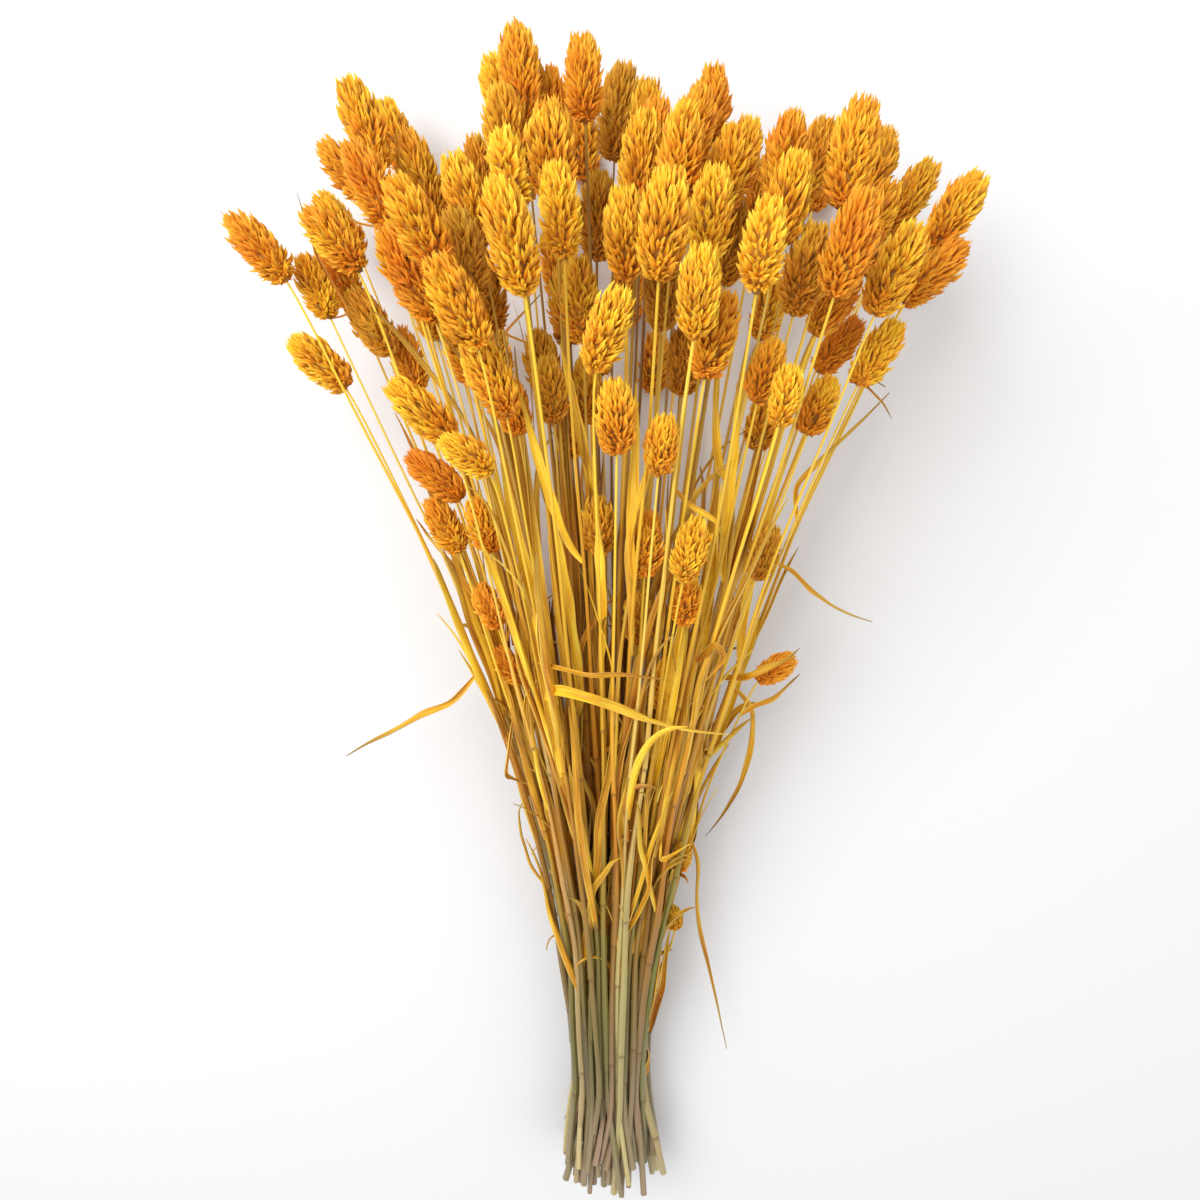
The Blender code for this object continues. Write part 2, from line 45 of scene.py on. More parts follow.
# The bunch's own layout, in metres: the same values as its solids have
bunchShift = np.array([-0.0035, -0.1274, 0.0])
cutEnd = -0.142
cutSpread = 0.012
crossFrom = -0.118
crossTo = -0.098
crossReach = 0.010
waist = -0.070
waistReach = 0.076
waistMiddle = np.array([0.006, 0.013])
squeeze = 0.002
fanMiddle = 0.006
fanReach = np.array([0.255, 0.20])
middleLow = 0.0145
middleRise = 0.066
middleRun = 0.40
stemLow = 0.00155
stemHigh = 0.00095
clearance = 0.00045
headSink = 0.0015
stemSink = 0.0004
lyingBelow = 12
headLength = 0.0335
headWidth = 0.0164
stemTurns = 6
rootLift = 0.0002
bladeReach = 0.0019
settle = {  # how the strands are moved apart
    "rounds": 520,
    "step": 0.006,  # distance of the stations along the bunch
    "near": 0.004,  # gap under which two strands are watched
    "hold": 0.006,  # pull of a stem, a head and a blade to its first place
    "holdHead": 0.05,
    "holdBlade": 0.02,
    "headYield": 0.25,  # how far a head gives way against a stem
    "even": 0.12,  # pull of a bend to the mean of its neighbours
    "pace": 0.9,
}

# The view from which heads and blades are placed
eye = np.array([0.0, 0.276, 0.448])
eyeTilt = math.radians(10)
eyeFocal = 900.0
frameMiddle = 600.0

# Every head: its middle in the photograph (column and row in pixels), its height over the surface in
# millimetres, its lean to the right in degrees, and its size as a share of headLength.
heads = [
    (263, 287, 95, -42, 0.93), (313, 325, 82, -23, 0.78), (320, 399, 72, -50, 0.90),
    (367, 166, 100, -20, 0.98), (344, 212, 70, -42, 0.86), (371, 226, 118, -25, 0.95),
    (420, 215, 92, -18, 0.96), (334, 279, 88, -42, 0.92), (340, 313, 58, -26, 0.95),
    (414, 263, 152, -29, 0.96), (388, 311, 136, -29, 1.02), (455, 341, 160, -26, 0.92),
    (370, 359, 74, -32, 0.88), (409, 397, 60, -16, 0.85), (480, 212, 58, -8, 0.85),
    (463, 236, 112, -18, 0.95), (468, 294, 118, -12, 0.95), (487, 329, 92, -10, 0.90),
    (511, 274, 165, -14, 1.00), (513, 214, 138, -8, 0.80), (526, 119, 96, -5, 1.00),
    (502, 137, 74, -13, 0.90), (517, 176, 112, -9, 0.92), (549, 149, 92, -8, 0.95),
    (557, 193, 122, -5, 1.00), (584, 122, 108, -2, 0.84), (560, 250, 144, -6, 0.88),
    (598, 256, 78, 2, 1.00), (567, 343, 84, -5, 0.90), (482, 412, 142, -25, 0.90),
    (541, 398, 92, -8, 0.75), (549, 426, 114, -6, 0.75), (581, 427, 100, -1, 0.75),
    (619, 154, 60, 7, 1.12), (645, 158, 76, 6, 0.80), (641, 200, 112, 4, 0.95),
    (653, 181, 92, 6, 0.88), (683, 196, 126, 6, 0.97), (710, 148, 80, 4, 0.85),
    (700, 170, 102, 9, 0.92), (741, 196, 82, 13, 0.84), (722, 213, 112, 9, 0.90),
    (783, 202, 112, 8, 0.98), (815, 198, 76, 13, 0.88), (850, 194, 132, 9, 1.02),
    (874, 206, 62, 18, 0.92), (792, 237, 136, 8, 0.86), (663, 264, 158, 4, 0.97),
    (625, 271, 134, -3, 0.86), (704, 254, 130, 5, 0.92), (758, 284, 165, 5, 0.84),
    (796, 306, 138, 12, 0.92), (730, 280, 98, 6, 0.92), (691, 327, 165, 3, 0.82),
    (663, 328, 110, 1, 0.85), (621, 365, 160, 20, 0.82), (726, 371, 148, 12, 0.88),
    (850, 282, 150, 13, 1.00), (880, 254, 90, 24, 0.85), (834, 341, 110, 34, 0.76),
    (838, 383, 86, 38, 0.78), (871, 390, 102, 30, 0.82), (766, 407, 128, 13, 0.68),
    (786, 432, 140, 8, 0.64), (895, 307, 128, 22, 0.96), (579, 340, 112, -4, 0.90),
    (613, 453, 150, -2, 0.76), (684, 396, 92, 3, 0.84), (909, 236, 60, 30, 0.95),
    (953, 252, 85, 31, 0.98), (933, 311, 96, 46, 0.92), (820, 441, 100, 20, 0.70),
    (764, 457, 96, 10, 0.72), (665, 480, 146, 5, 0.62), (423, 447, 126, -46, 0.88),
    (467, 491, 132, -57, 0.66), (430, 513, 94, -50, 0.82), (445, 562, 84, -28, 0.78),
    (481, 562, 100, -16, 0.70), (489, 641, 84, -24, 0.60), (507, 707, 68, -34, 0.62),
    (511, 442, 112, -12, 0.66), (578, 468, 96, -2, 0.64), (598, 561, 100, -1, 0.70),
    (647, 580, 108, 2, 0.80), (690, 585, 122, 10, 0.78), (642, 656, 96, -3, 0.68),
    (683, 638, 102, 6, 0.66), (463, 386, 108, -20, 0.84), (766, 588, 92, 14, 0.70),
    (776, 706, 66, 58, 0.60), (664, 723, 84, 9, 0.72), (682, 900, 52, 8, 0.48),
    (630, 967, 42, 14, 0.48), (674, 962, 38, -14, 0.42), (340, 262, 30, -36, 0.95),
    (398, 178, 26, -22, 1.00), (447, 262, 5.5, -16, 1.00), (520, 205, 30, -10, 1.00),
    (583, 186, 5.5, -4, 1.00), (640, 232, 30, 2, 1.00), (697, 206, 5.5, 7, 1.00),
    (762, 232, 28, 12, 1.00), (822, 214, 5.5, 18, 1.00), (882, 285, 26, 26, 0.95),
    (556, 300, 5.5, -6, 1.00), (627, 330, 5.5, 1, 1.00), (702, 305, 5.5, 8, 1.00),
    (768, 345, 26, 14, 0.95), (424, 345, 5.5, -22, 0.95), (496, 390, 28, -12, 0.90),
    (828, 305, 5.5, 20, 1.00), (655, 400, 5.5, 4, 0.90), (600, 380, 30, -3, 0.90),
]

# Blades that run along the bunch: column and row of root and tip, height of both over the surface in
# millimetres, and width in millimetres.
alongBlades = [
    ((541, 690), (500, 500), 84, 118, 6.5), ((590, 760), (556, 560), 72, 112, 6.0),
    ((610, 700), (592, 490), 88, 130, 5.5), ((655, 760), (662, 545), 76, 120, 6.0),
    ((700, 720), (722, 520), 78, 118, 6.5), ((735, 700), (790, 480), 66, 104, 6.0),
    ((565, 840), (532, 640), 54, 86, 5.0), ((615, 850), (612, 640), 56, 96, 5.5),
    ((665, 850), (690, 640), 54, 94, 5.5), ((715, 620), (752, 420), 96, 128, 5.0),
    ((560, 600), (520, 430), 104, 124, 5.0), ((640, 620), (636, 420), 108, 134, 5.0),
    ((520, 760), (470, 600), 44, 66, 5.0), ((725, 800), (765, 630), 44, 72, 5.0),
    ((690, 905), (706, 750), 44, 66, 5.0), ((580, 930), (560, 770), 38, 60, 5.0),
    ((708, 520), (718, 392), 110, 126, 4.5), ((600, 540), (560, 380), 112, 128, 4.5),
]

# Blades that leave the bunch: column, row and height in millimetres of each bend, root first, the width
# in millimetres, and whether the blade lies over the bunch or beside it.
looseBlades = [
    ([(505, 716, 66), (450, 743, 65), (420, 753, 62), (390, 770, 57),
      (362, 784, 52), (341, 797, 48)], 5.0, False),
    ([(570, 730, 106), (592, 724, 96), (615, 741, 97), (645, 757, 96),
      (680, 769, 94), (712, 774, 90), (731, 775, 86)], 6.0, True),
    ([(725, 722, 76), (750, 716, 84), (773, 705, 86), (791, 698, 84), (803, 686, 80)], 5.0, False),
    ([(722, 752, 58), (755, 746, 60), (778, 738, 60), (792, 724, 60), (803, 713, 62)], 4.0, False),
    ([(735, 722, 58), (757, 748, 52), (754, 790, 46), (743, 828, 40),
      (724, 860, 34), (708, 880, 30)], 4.5, False),
    ([(690, 880, 40), (703, 905, 37), (699, 940, 31), (702, 975, 27),
      (712, 1015, 22), (722, 1058, 18), (731, 1102, 14)], 4.0, False),
    ([(540, 945, 22), (529, 912, 24), (519, 880, 26), (516, 852, 29), (525, 838, 32)], 3.2, False),
    ([(760, 560, 88), (796, 522, 90), (816, 503, 90), (838, 482, 88),
      (864, 457, 88), (890, 430, 90)], 3.6, False),
    ([(765, 600, 70), (794, 607, 70), (813, 628, 68), (836, 645, 66),
      (856, 654, 66), (876, 660, 66)], 3.4, False),
]


def fromPhoto(column, row, height):
    # The place at this height over the surface that the photograph shows at this pixel.
    forward = np.array([0.0, -math.sin(eyeTilt), -math.cos(eyeTilt)])
    upward = np.array([0.0, math.cos(eyeTilt), -math.sin(eyeTilt)])
    ray = forward + upward * (frameMiddle - row) / eyeFocal
    ray[0] = (column - frameMiddle) / eyeFocal
    return eye + ray * (height - eye[2]) / ray[2]


def fromBends(bends):
    # Places of bends given by column, row and height in millimetres.
    return np.array([fromPhoto(column, row, height / 1000) for column, row, height in bends])


def spread(along):
    # How far the fan of stems has opened at this place along the bunch.
    return np.sqrt((along - waist) ** 2 + waistReach**2)


def middleHeight(along):
    # Height of the middle of the bunch over the surface.
    return middleLow + middleRise * np.clip((along - waist) / middleRun, 0, 1) ** 1.15


def headSet():
    # Base, axis, length and radius of every head.
    rng = np.random.default_rng(11)
    bases, axes, lengths, radii = [], [], [], []
    for column, row, height, lean, size in heads:
        middle = fromPhoto(column, row, height / 1000)
        length = headLength * size
        away = middle[1] - waist
        rise = 1.25 * (middle[2] - middleHeight(middle[1])) / away
        rise = float(np.clip(rise + rng.uniform(-0.08, 0.08), -0.5, 0.75)) * (height >= lyingBelow)
        side = math.tan(math.radians(lean))
        axis = np.array([side, 1.0, rise])
        axis /= np.linalg.norm(axis)
        bases.append(middle - axis * length / 2)
        axes.append(axis)
        lengths.append(length)
        radii.append(headWidth / 2 * (0.35 + 0.65 * size) * rng.uniform(0.95, 1.05))
    return np.array(bases), np.array(axes), np.array(lengths), np.array(radii)


def pairUp(fan):
    # Each stem with its nearest free neighbour in the fan, the outermost first.
    free = list(np.argsort(-np.hypot(fan[:, 0], fan[:, 1])))
    pairs = []
    while free:
        first = free.pop(0)
        gaps = np.hypot(*(fan[free] - fan[first]).T)
        pairs.append((first, free.pop(int(np.argmin(gaps)))))
    return pairs


def nearPairs(places, reach, node, meeting, margin):
    # Strands that pass close to each other at a station, other than where two of one node join.
    found = []
    for station in range(places.shape[1]):
        here = np.flatnonzero(reach[:, station] > 0)
        apart = places[here, station][:, None] - places[here, station][None]
        gap = np.hypot(apart[..., 0], apart[..., 1])
        touch = reach[here, station][:, None] + reach[here, station][None] + margin
        joins = meeting[here, station][:, None] | meeting[here, station][None]
        joins &= node[here][:, None] == node[here][None]
        close = np.triu((gap < touch) & ~joins, 1)
        i, j = np.nonzero(close)
        found.append(np.stack([here[i], here[j], np.full(len(i), station)]))
    return np.concatenate(found, axis=1)


def layOut():
    # The control points of every stem and along-blade, moved apart until nothing crosses.
    rng = np.random.default_rng(7)
    bases, axes, lengths, radii = headSet()
    stems = len(heads)
    fan = np.stack([bases[:, 0] - fanMiddle, bases[:, 2] - middleHeight(bases[:, 1])], axis=1)
    fan /= spread(bases[:, 1])[:, None]
    gathered = np.tanh(fan / fanReach) * fanReach
    pairs = pairUp(fan)
    bends = stemTurns + 1
    steps = np.linspace(0, 1, bends - 2)

    total = stems + len(alongBlades)
    control = np.zeros((total, bends, 3))
    node = np.zeros(total, int)
    meet = np.zeros(total)
    for number, (one, other) in enumerate(pairs):
        node[[one, other]] = number
        crossing = rng.uniform(crossFrom, crossTo)
        meet[[one, other]] = crossing
        for strand, mate in ((one, other), (other, one)):
            start = crossing + 2 * crossReach
            last = bases[strand, 1]
            along = np.concatenate([[cutEnd + rng.uniform(-cutSpread, cutSpread)], [crossing],
                                    start + (last - start) * steps])
            opened = ((along - crossing) / (last - crossing))[:, None].clip(0, 1) ** 2
            at = (gathered[strand] + (fan[strand] - gathered[strand]) * opened) * spread(along)[:, None]
            at[0] = gathered[mate] * spread(along[0])
            at[1] = (gathered[strand] * 0.56 + gathered[mate] * 0.44) * spread(along[1])
            at[:, 1] += middleHeight(along)
            at[:, 0] += fanMiddle
            control[strand] = np.stack([at[:, 0], along, at[:, 1]], axis=1)
            control[strand, -1] = bases[strand]
    for number, (root, tip, low, high, width) in enumerate(alongBlades):
        start = fromPhoto(*root, low / 1000)
        end = fromPhoto(*tip, high / 1000)
        share = np.append(0, np.linspace(0.1, 1, bends - 1))[:, None]
        control[stems + number] = start + (end - start) * share
        meet[stems + number] = start[1]

    # A blade grows from the stem that passes nearest to its root.
    parent = np.arange(total)
    for blade in range(stems, total):
        root = control[blade, 0]
        at = np.array([[np.interp(root[1], c[:, 1], c[:, 0]), np.interp(root[1], c[:, 1], c[:, 2])]
                       for c in control[:stems]])
        gap = np.hypot(at[:, 0] - root[0], at[:, 1] - root[2])
        gap[bases[:, 1] < root[1] + 0.03] = 1
        gap[np.isin(node[:stems], node[stems:blade])] += 0.02
        parent[blade] = int(np.argmin(gap))
        node[blade] = node[parent[blade]]

    stations = np.arange(cutEnd - cutSpread, control[:, -1, 1].max() + 0.04, settle["step"])
    weight = np.zeros((total, len(stations), bends))
    beyond = np.zeros((total, len(stations), 2))
    reach = np.full((total, len(stations)), -1.0)
    for strand in range(total):
        knots = control[strand, :, 1]
        onStem = (stations >= knots[0] - 0.003) & (stations <= knots[-1] + 0.003)
        for bend in range(bends):
            weight[strand, onStem, bend] = np.interp(stations[onStem], knots, np.eye(bends)[bend])
        share = np.clip((stations - knots[0]) / (knots[-1] - knots[0]), 0, 1)
        slant = np.hypot(1, np.abs(np.gradient(control[strand, :, 0]) / np.gradient(knots)).max())
        if strand < stems:
            reach[strand, onStem] = ((stemLow + (stemHigh - stemLow) * share) * slant)[onStem]
            axis, length = axes[strand], lengths[strand]
            up = (stations - knots[-1]) / (axis[1] * length)
            onHead = (up > -0.05) & (up < 1.1)
            weight[strand, onHead] = np.eye(bends)[-1]
            beyond[strand, onHead] = np.outer(stations[onHead] - knots[-1], axis[[0, 2]] / axis[1])
            shape = np.sqrt(np.clip(np.sin(np.pi * np.clip(up * 0.86 + 0.12, 0, 1)), 0.05, 1))
            reach[strand, onHead] = (radii[strand] * shape / axis[1])[onHead]
        else:
            reach[strand, onStem] = bladeReach

    meeting = np.abs(stations[None] - meet[:, None]) < crossReach
    target = control[..., [0, 2]].copy()
    place = target.copy()
    keep = np.full((total, bends, 1), settle["hold"])
    keep[:stems, -1] = settle["holdHead"]
    keep[stems:] = settle["holdBlade"]
    yieldShare = np.where(weight[..., -1] > 0.99, settle["headYield"], 1.0)
    for turn in range(settle["rounds"]):
        places = np.einsum("nfk,nkc->nfc", weight, place) + beyond
        if turn % 10 == 0:
            one, other, station = nearPairs(places, reach, node, meeting, settle["near"])
        apart = places[one, station] - places[other, station]
        gap = np.maximum(np.hypot(apart[:, 0], apart[:, 1]), 1e-5)
        over = np.maximum(reach[one, station] + reach[other, station] + clearance - gap, 0)
        move = apart * (over / gap)[:, None] * np.array([0.8, 1.2])
        softOne = yieldShare[one, station]
        softOther = yieldShare[other, station]
        shareOne = (softOne / (softOne + softOther))[:, None]
        push = np.zeros_like(places)
        hit = np.zeros(reach.shape)
        np.add.at(push, (one, station), move * shareOne)
        np.add.at(push, (other, station), -move * (1 - shareOne))
        np.add.at(hit, (one, station), over > 0)
        np.add.at(hit, (other, station), over > 0)
        touched = np.einsum("nfk,nf->nk", weight, np.minimum(hit, 1.0))
        shift = np.einsum("nfk,nfc->nkc", weight, push) / np.maximum(touched, 0.7)[..., None]
        place += settle["pace"] * shift
        calm = max(0.0, 1 - turn / (0.75 * settle["rounds"]))
        place += keep * calm * (target - place)
        off = place - target
        off[:, 1:-1] += settle["even"] * calm * (0.5 * (off[:, :-2] + off[:, 2:]) - off[:, 1:-1])
        place = target + off
        if turn < 0.9 * settle["rounds"]:
            place[:stems, 2] += squeeze * (waistMiddle - place[:stems, 2])
        ones, others = np.array(pairs).T
        half = np.clip((place[ones, 1] - place[others, 1]) / 2, -0.0003, 0.0003)
        middle = (place[ones, 1] + place[others, 1]) / 2
        place[ones, 1] = middle + half
        place[others, 1] = middle - half
        place[:stems, :, 1] = np.maximum(place[:stems, :, 1], stemLow - stemSink)
        onHead = weight[:stems, :, -1] > 0.99
        lowest = np.min(np.where(onHead, beyond[:stems, :, 1] - reach[:stems], 1), axis=1)
        place[:stems, -1, 1] = np.maximum(place[:stems, -1, 1], -headSink - lowest)
        for blade in range(stems, total):
            stem = control[parent[blade]]
            root = control[blade, 0, 1]
            for side in (0, 1):
                place[blade, 0, side] = np.interp(root, stem[:, 1], place[parent[blade], :, side])
    control[..., [0, 2]] = place
    places = np.einsum("nfk,nkc->nfc", weight, place) + beyond
    return control, node, axes, lengths, radii, pairs, (stations, places, reach)


def looseBlade(bends, width, over, control, stems, free, cloud):
    # The route of a blade that leaves the bunch. One that lies over it starts inside the free stem nearest
    # to its root and is lifted clear of what it passes. One beside it starts inside the outermost stem.
    route = fromBends(bends)
    root = route[0].copy()
    best = None
    for strand in range(stems):
        knots = control[strand, :, 1]
        if over and not free[strand] or not knots[0] < root[1] < knots[-1] - 0.01:
            continue
        at = np.array([np.interp(root[1], knots, control[strand, :, c]) for c in range(3)])
        gap = np.linalg.norm((at - root) * [1, 1, 0.7])
        if not over:
            gap = -abs(at[0]) if abs(at[2] - root[2]) < 0.008 and at[0] * root[0] > 0 else 1
        if best is None or gap < best[0]:
            best = (gap, strand, at)
    route[0] = best[2] + [0, 0, rootLift]
    stations, places, reach = cloud
    share = np.linspace(0, len(route) - 1, 8 * len(route))
    for turn in range(30 if over else 0):
        x, y, z = (np.interp(share, np.arange(len(route)), route[:, c]) for c in range(3))
        nearest = np.argmin(np.abs(stations[None] - y[:, None]), axis=1)
        under = places[:, nearest]
        room = reach[:, nearest]
        beside = np.abs(under[..., 0] - x) < room + width / 2000 + 0.0006
        need = np.where((room > 0) & beside & (under[..., 1] - room < z), under[..., 1] + room + 0.0016, 0)
        need[:, np.hypot(x - route[0, 0], y - route[0, 1]) < 0.0035] = 0
        short = np.maximum(need.max(axis=0) - z, 0)
        if short.max() < 1e-5:
            break
        for bend in range(1, len(route)):
            route[bend, 2] += 0.7 * short[np.abs(share - bend) < 1].max()
    return route, best[1]


control, node, axes, lengths, radii, pairs, cloud = layOut()
stemCount = len(heads)
print("stems laid out")


def unit(v):
    # Vectors over their lengths.
    return v / np.linalg.norm(v, axis=-1, keepdims=True)


def colour(code):
    # An sRGB hex colour as linear red, green, blue, alpha.
    parts = [int(code[i : i + 2], 16) / 255 for i in (0, 2, 4)]
    return (*[c / 12.92 if c <= 0.04045 else ((c + 0.055) / 1.055) ** 2.4 for c in parts], 1)


floorGap = 0.0002
creaseAngle = math.radians(42)


def putIn(name, parts, finish, node):
    # One mesh of parts: a list of (vertices (n, 3), faces [arrays (k, 3) or (k, 4)], {attribute: (n,)}). What
    # would reach under the surface is lifted to it.
    vertices, corners, sizes, values, first = [], [], [], {}, 0
    for points, faces, marks in parts:
        vertices.append(points)
        for some in faces:
            corners.append((some + first).ravel())
            sizes.append(np.full(len(some), some.shape[1]))
        for mark, value in marks.items():
            values.setdefault(mark, []).append(value)
        first += len(points)
    vertices, corners, sizes = (np.concatenate(x) for x in (vertices, corners, sizes))
    vertices[:, 2] = np.maximum(vertices[:, 2], floorGap)
    mesh = bpy.data.meshes.new(name)
    mesh.vertices.add(len(vertices))
    mesh.vertices.foreach_set("co", vertices.astype(np.float32).ravel())
    mesh.loops.add(len(corners))
    mesh.loops.foreach_set("vertex_index", corners.astype(np.int32))
    mesh.polygons.add(len(sizes))
    mesh.polygons.foreach_set("loop_start", (np.cumsum(sizes) - sizes).astype(np.int32))
    mesh.update(calc_edges=True)
    for mark, value in values.items():
        layer = mesh.attributes.new(mark, "FLOAT", "POINT")
        layer.data.foreach_set("value", np.concatenate(value).astype(np.float32))
    mesh.shade_smooth()
    mesh.set_sharp_from_angle(angle=creaseAngle)
    mesh.materials.append(finish)
    piece = bpy.data.objects.new(name, mesh)
    scene.collection.objects.link(piece)
    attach(piece, "root")
    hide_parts(node)


def ringFaces(rings, corners):
    # Quads of a closed grid of rings, and a fan of quads or triangles over each end.
    r, c = np.meshgrid(np.arange(rings - 1), np.arange(corners), indexing="ij")
    a, b = (r * corners + c).ravel(), (r * corners + (c + 1) % corners).ravel()
    sides = np.stack([a, b, b + corners, a + corners], 1)
    k = np.arange(1, corners - 1)
    low = np.stack([0 * k, k + 1, k], 1)
    high = np.stack([0 * k, k, k + 1], 1) + (rings - 1) * corners
    return [sides, low, high]


# Heads

headLook = {
    "count": 440,  # spikelets on a whole head
    "long": 0.0074,
    "deep": 0.0020,  # root of the keel to its edge, seen from the side
    "wide": 0.0017,  # as seen from outside
    "bow": 0.10,  # how far a spikelet bulges outwards, as a share of its length
    "coreShare": 0.60,
    "proudShare": 0.16,  # share of the spikelets that stand out of the others, and by how much
    "proud": 0.12,
    "turn": math.radians(137.508),  # from one spikelet to the next
    "stand": ([0, 0.08, 0.25, 0.5, 0.75, 1.0], [108, 84, 62, 49, 35, 20]),  # degrees from the axis, up a head
    "growth": ([0, 0.12, 0.3, 0.8, 1], [0.62, 0.85, 1.0, 1.05, 1.25]),  # size of a spikelet, up a head
    "from": 0.80,  # where spikelets begin to stand inside the outline too
    "thin": 0.75,  # share of the spikelets on a head lower than this in millimetres, where others hide it
    "thinBelow": 35,
    "yellowAndPaintedLight": 0.36,  # share of light yellow at 0.1 m, its rise by height (painted light: higher heads painted lighter), its random range, and for a yellow head
    "paintedLightRise": 0.9,
    "yellowRange": 0.15,
    "yellowHeadShare": 0.6,
}
coreTaper = np.array([0.4, 0.9, 1, 1, 1, 1, 0.9, 0.45])
coreTop = 0.86
coreSides = 9
spikeletRings = np.array([0.0, 0.40, 0.74, 1.0])
spikeletShape = np.array([0.0, 1.0, 0.66, 0.0])

# Heads whose colour differs, by their place in the table, with its share: the brown ones are painted shade,
# darkened toward brown; the yellow and red ones differ by dye or ripeness
paintedShadeHeads = {33: 0.75, 16: 0.8, 17: 0.6, 52: 0.7, 54: 0.9, 51: 0.5, 31: 0.55, 12: 0.6, 30: 0.6, 67: 0.7,
              32: 0.5, 28: 0.45, 83: 0.35, 86: 0.5, 27: 0.7, 68: 0.35, 14: 0.4, 45: 0.4, 43: 0.4, 6: 0.3,
              65: 0.3, 22: 0.3, 89: 0.6, 72: 0.3, 93: 0.5, 94: 0.5, 92: 0.25}
yellowHeads = {19: 1.0, 63: 1.0, 50: 0.8, 49: 0.6, 48: 0.5, 46: 0.5, 40: 0.6, 15: 0.5, 85: 0.7, 75: 0.7,
               74: 0.4, 18: 0.3, 53: 0.5, 55: 0.6, 26: 0.4, 47: 0.35, 21: 0.5, 3: 0.3, 1: 0.4, 2: 0.6,
               61: 0.3, 69: 0.3, 29: 0.3, 73: 0.3, 92: 0.6, 93: 1.0, 94: 1.0}
redHeads = {0: 0.6, 5: 0.6, 8: 0.6, 4: 0.5, 59: 0.7, 60: 0.7, 70: 0.6, 76: 0.9, 39: 0.5, 44: 0.3, 57: 0.4,
            42: 0.5, 25: 0.5, 20: 0.3, 10: 0.4, 77: 0.5, 79: 0.6, 84: 0.4, 13: 0.7, 56: 0.3, 38: 0.5,
            36: 0.4, 9: 0.25, 80: 0.8, 90: 0.5}
openHeads = {19: 1.45, 63: 1.15, 50: 1.12}  # heads with fewer, larger and more open spikelets
corner = np.arange(3)
spikeletFaces = [
    np.stack([0 * corner, 1 + (corner + 1) % 3, 1 + corner], 1),
    np.stack([1 + corner, 1 + (corner + 1) % 3, 4 + (corner + 1) % 3, 4 + corner], 1),
    np.stack([4 + corner, 4 + (corner + 1) % 3, 0 * corner + 7], 1),
]


def outline(share):
    # Radius of a head at this share of its length: round below, widest at 0.4, narrower above.
    return np.interp(share, [-0.06, 0.0, 0.06, 0.15, 0.30, 0.45, 0.65, 0.82, 0.95, 1.0, 1.1],
                     [0.30, 0.46, 0.68, 0.87, 0.98, 1.0, 0.94, 0.82, 0.66, 0.56, 0.34])


def headSides(axis):
    # Two directions square to the axis, the first of them level.
    side = unit(np.cross(axis, [0.0, 0.0, 1.0]))
    return side, np.cross(side, axis)


def spikelets(base, axis, length, radius, count, grow, rng):
    # Spikelet i of a head: angle a = 137.5 i degrees round it, leaning from the axis by stand(u); its tip is
    # on outline(u) R. Centre line: root + (tip - root) s + lift 4 s (1 - s) bow. Section: keel outwards, flat
    # inside.
    look = headLook
    side, top = headSides(axis)
    i = np.arange(count)
    u = 1.03 * ((i + rng.uniform(0.2, 0.8, count)) / count) ** 0.92
    angle = i * look["turn"] + rng.normal(0, 0.10, count)
    out = side * np.cos(angle)[:, None] + top * np.sin(angle)[:, None]
    stand = np.radians(np.interp(u, *look["stand"]))
    stand *= rng.uniform(0.86, 1.12) * grow
    stand += rng.normal(0, math.radians(8), count)
    size = look["long"] * (0.6 + 0.4 * length / headLength) * rng.uniform(0.80, 1.18, count)
    size *= np.interp(u, *look["growth"])
    tipOut = outline(u) * radius * rng.uniform(0.80, 1.06, count)
    proud = rng.uniform(0, 1, count) < look["proudShare"]
    tipOut *= 1 + look["proud"] * proud
    size *= 1 + look["proud"] * proud
    inner = np.clip((u - look["from"]) / 0.14, 0, 1)
    share = 1 - inner * (1 - np.sqrt(rng.uniform(0.02, 1, count)))
    tipOut *= share
    stand *= share
    tip = base + axis * (u * length)[:, None] + out * tipOut[:, None]
    step = axis * (size * np.cos(stand))[:, None] + out * (size * np.sin(stand))[:, None]
    step += np.cross(axis, out) * (size * rng.normal(0, 0.13, count))[:, None]
    root = tip - step
    along = unit(step)
    lift = unit(out - along * np.sum(out * along, 1)[:, None])
    roll = rng.normal(0, 0.45, count)[:, None]
    across = np.cross(along, lift)
    lift, across = lift * np.cos(roll) + across * np.sin(roll), across * np.cos(roll) - lift * np.sin(roll)
    s = spikeletRings[None, :, None]
    bow = 4 * s * (1 - s) * look["bow"]
    centre = root[:, None] + step[:, None] * s + lift[:, None] * bow * size[:, None, None]
    grown = grow * (0.7 + 0.3 * length / headLength) * rng.uniform(0.80, 1.20, count)
    wide = look["wide"] / 2 * grown[:, None] * spikeletShape
    deep = look["deep"] / 2 * grown[:, None] * spikeletShape
    keel, edge = lift[:, None] * deep[..., None], across[:, None] * wide[..., None]
    ring = np.stack([centre + keel, centre + edge - 0.5 * keel, centre - edge - 0.5 * keel], 2)
    points = np.concatenate([ring[:, :1, 0], ring[:, 1:3].reshape(count, 6, 3), ring[:, 3:, 0]], 1)
    marks = {
        "reach": np.tile([0, 0.34, 0.34, 0.34, 0.68, 0.68, 0.68, 1.0], count),
        "edge": np.tile([0, 0, 1, 1, 0, 1, 1, 0], count),
        "tone": np.repeat(rng.uniform(0, 1, count), 8),
        "upHead": np.repeat(u, 8),
    }
    faces = [(f[None] + 8 * i[:, None, None]).reshape(-1, f.shape[1]) for f in spikeletFaces]
    return points.reshape(-1, 3), faces, marks


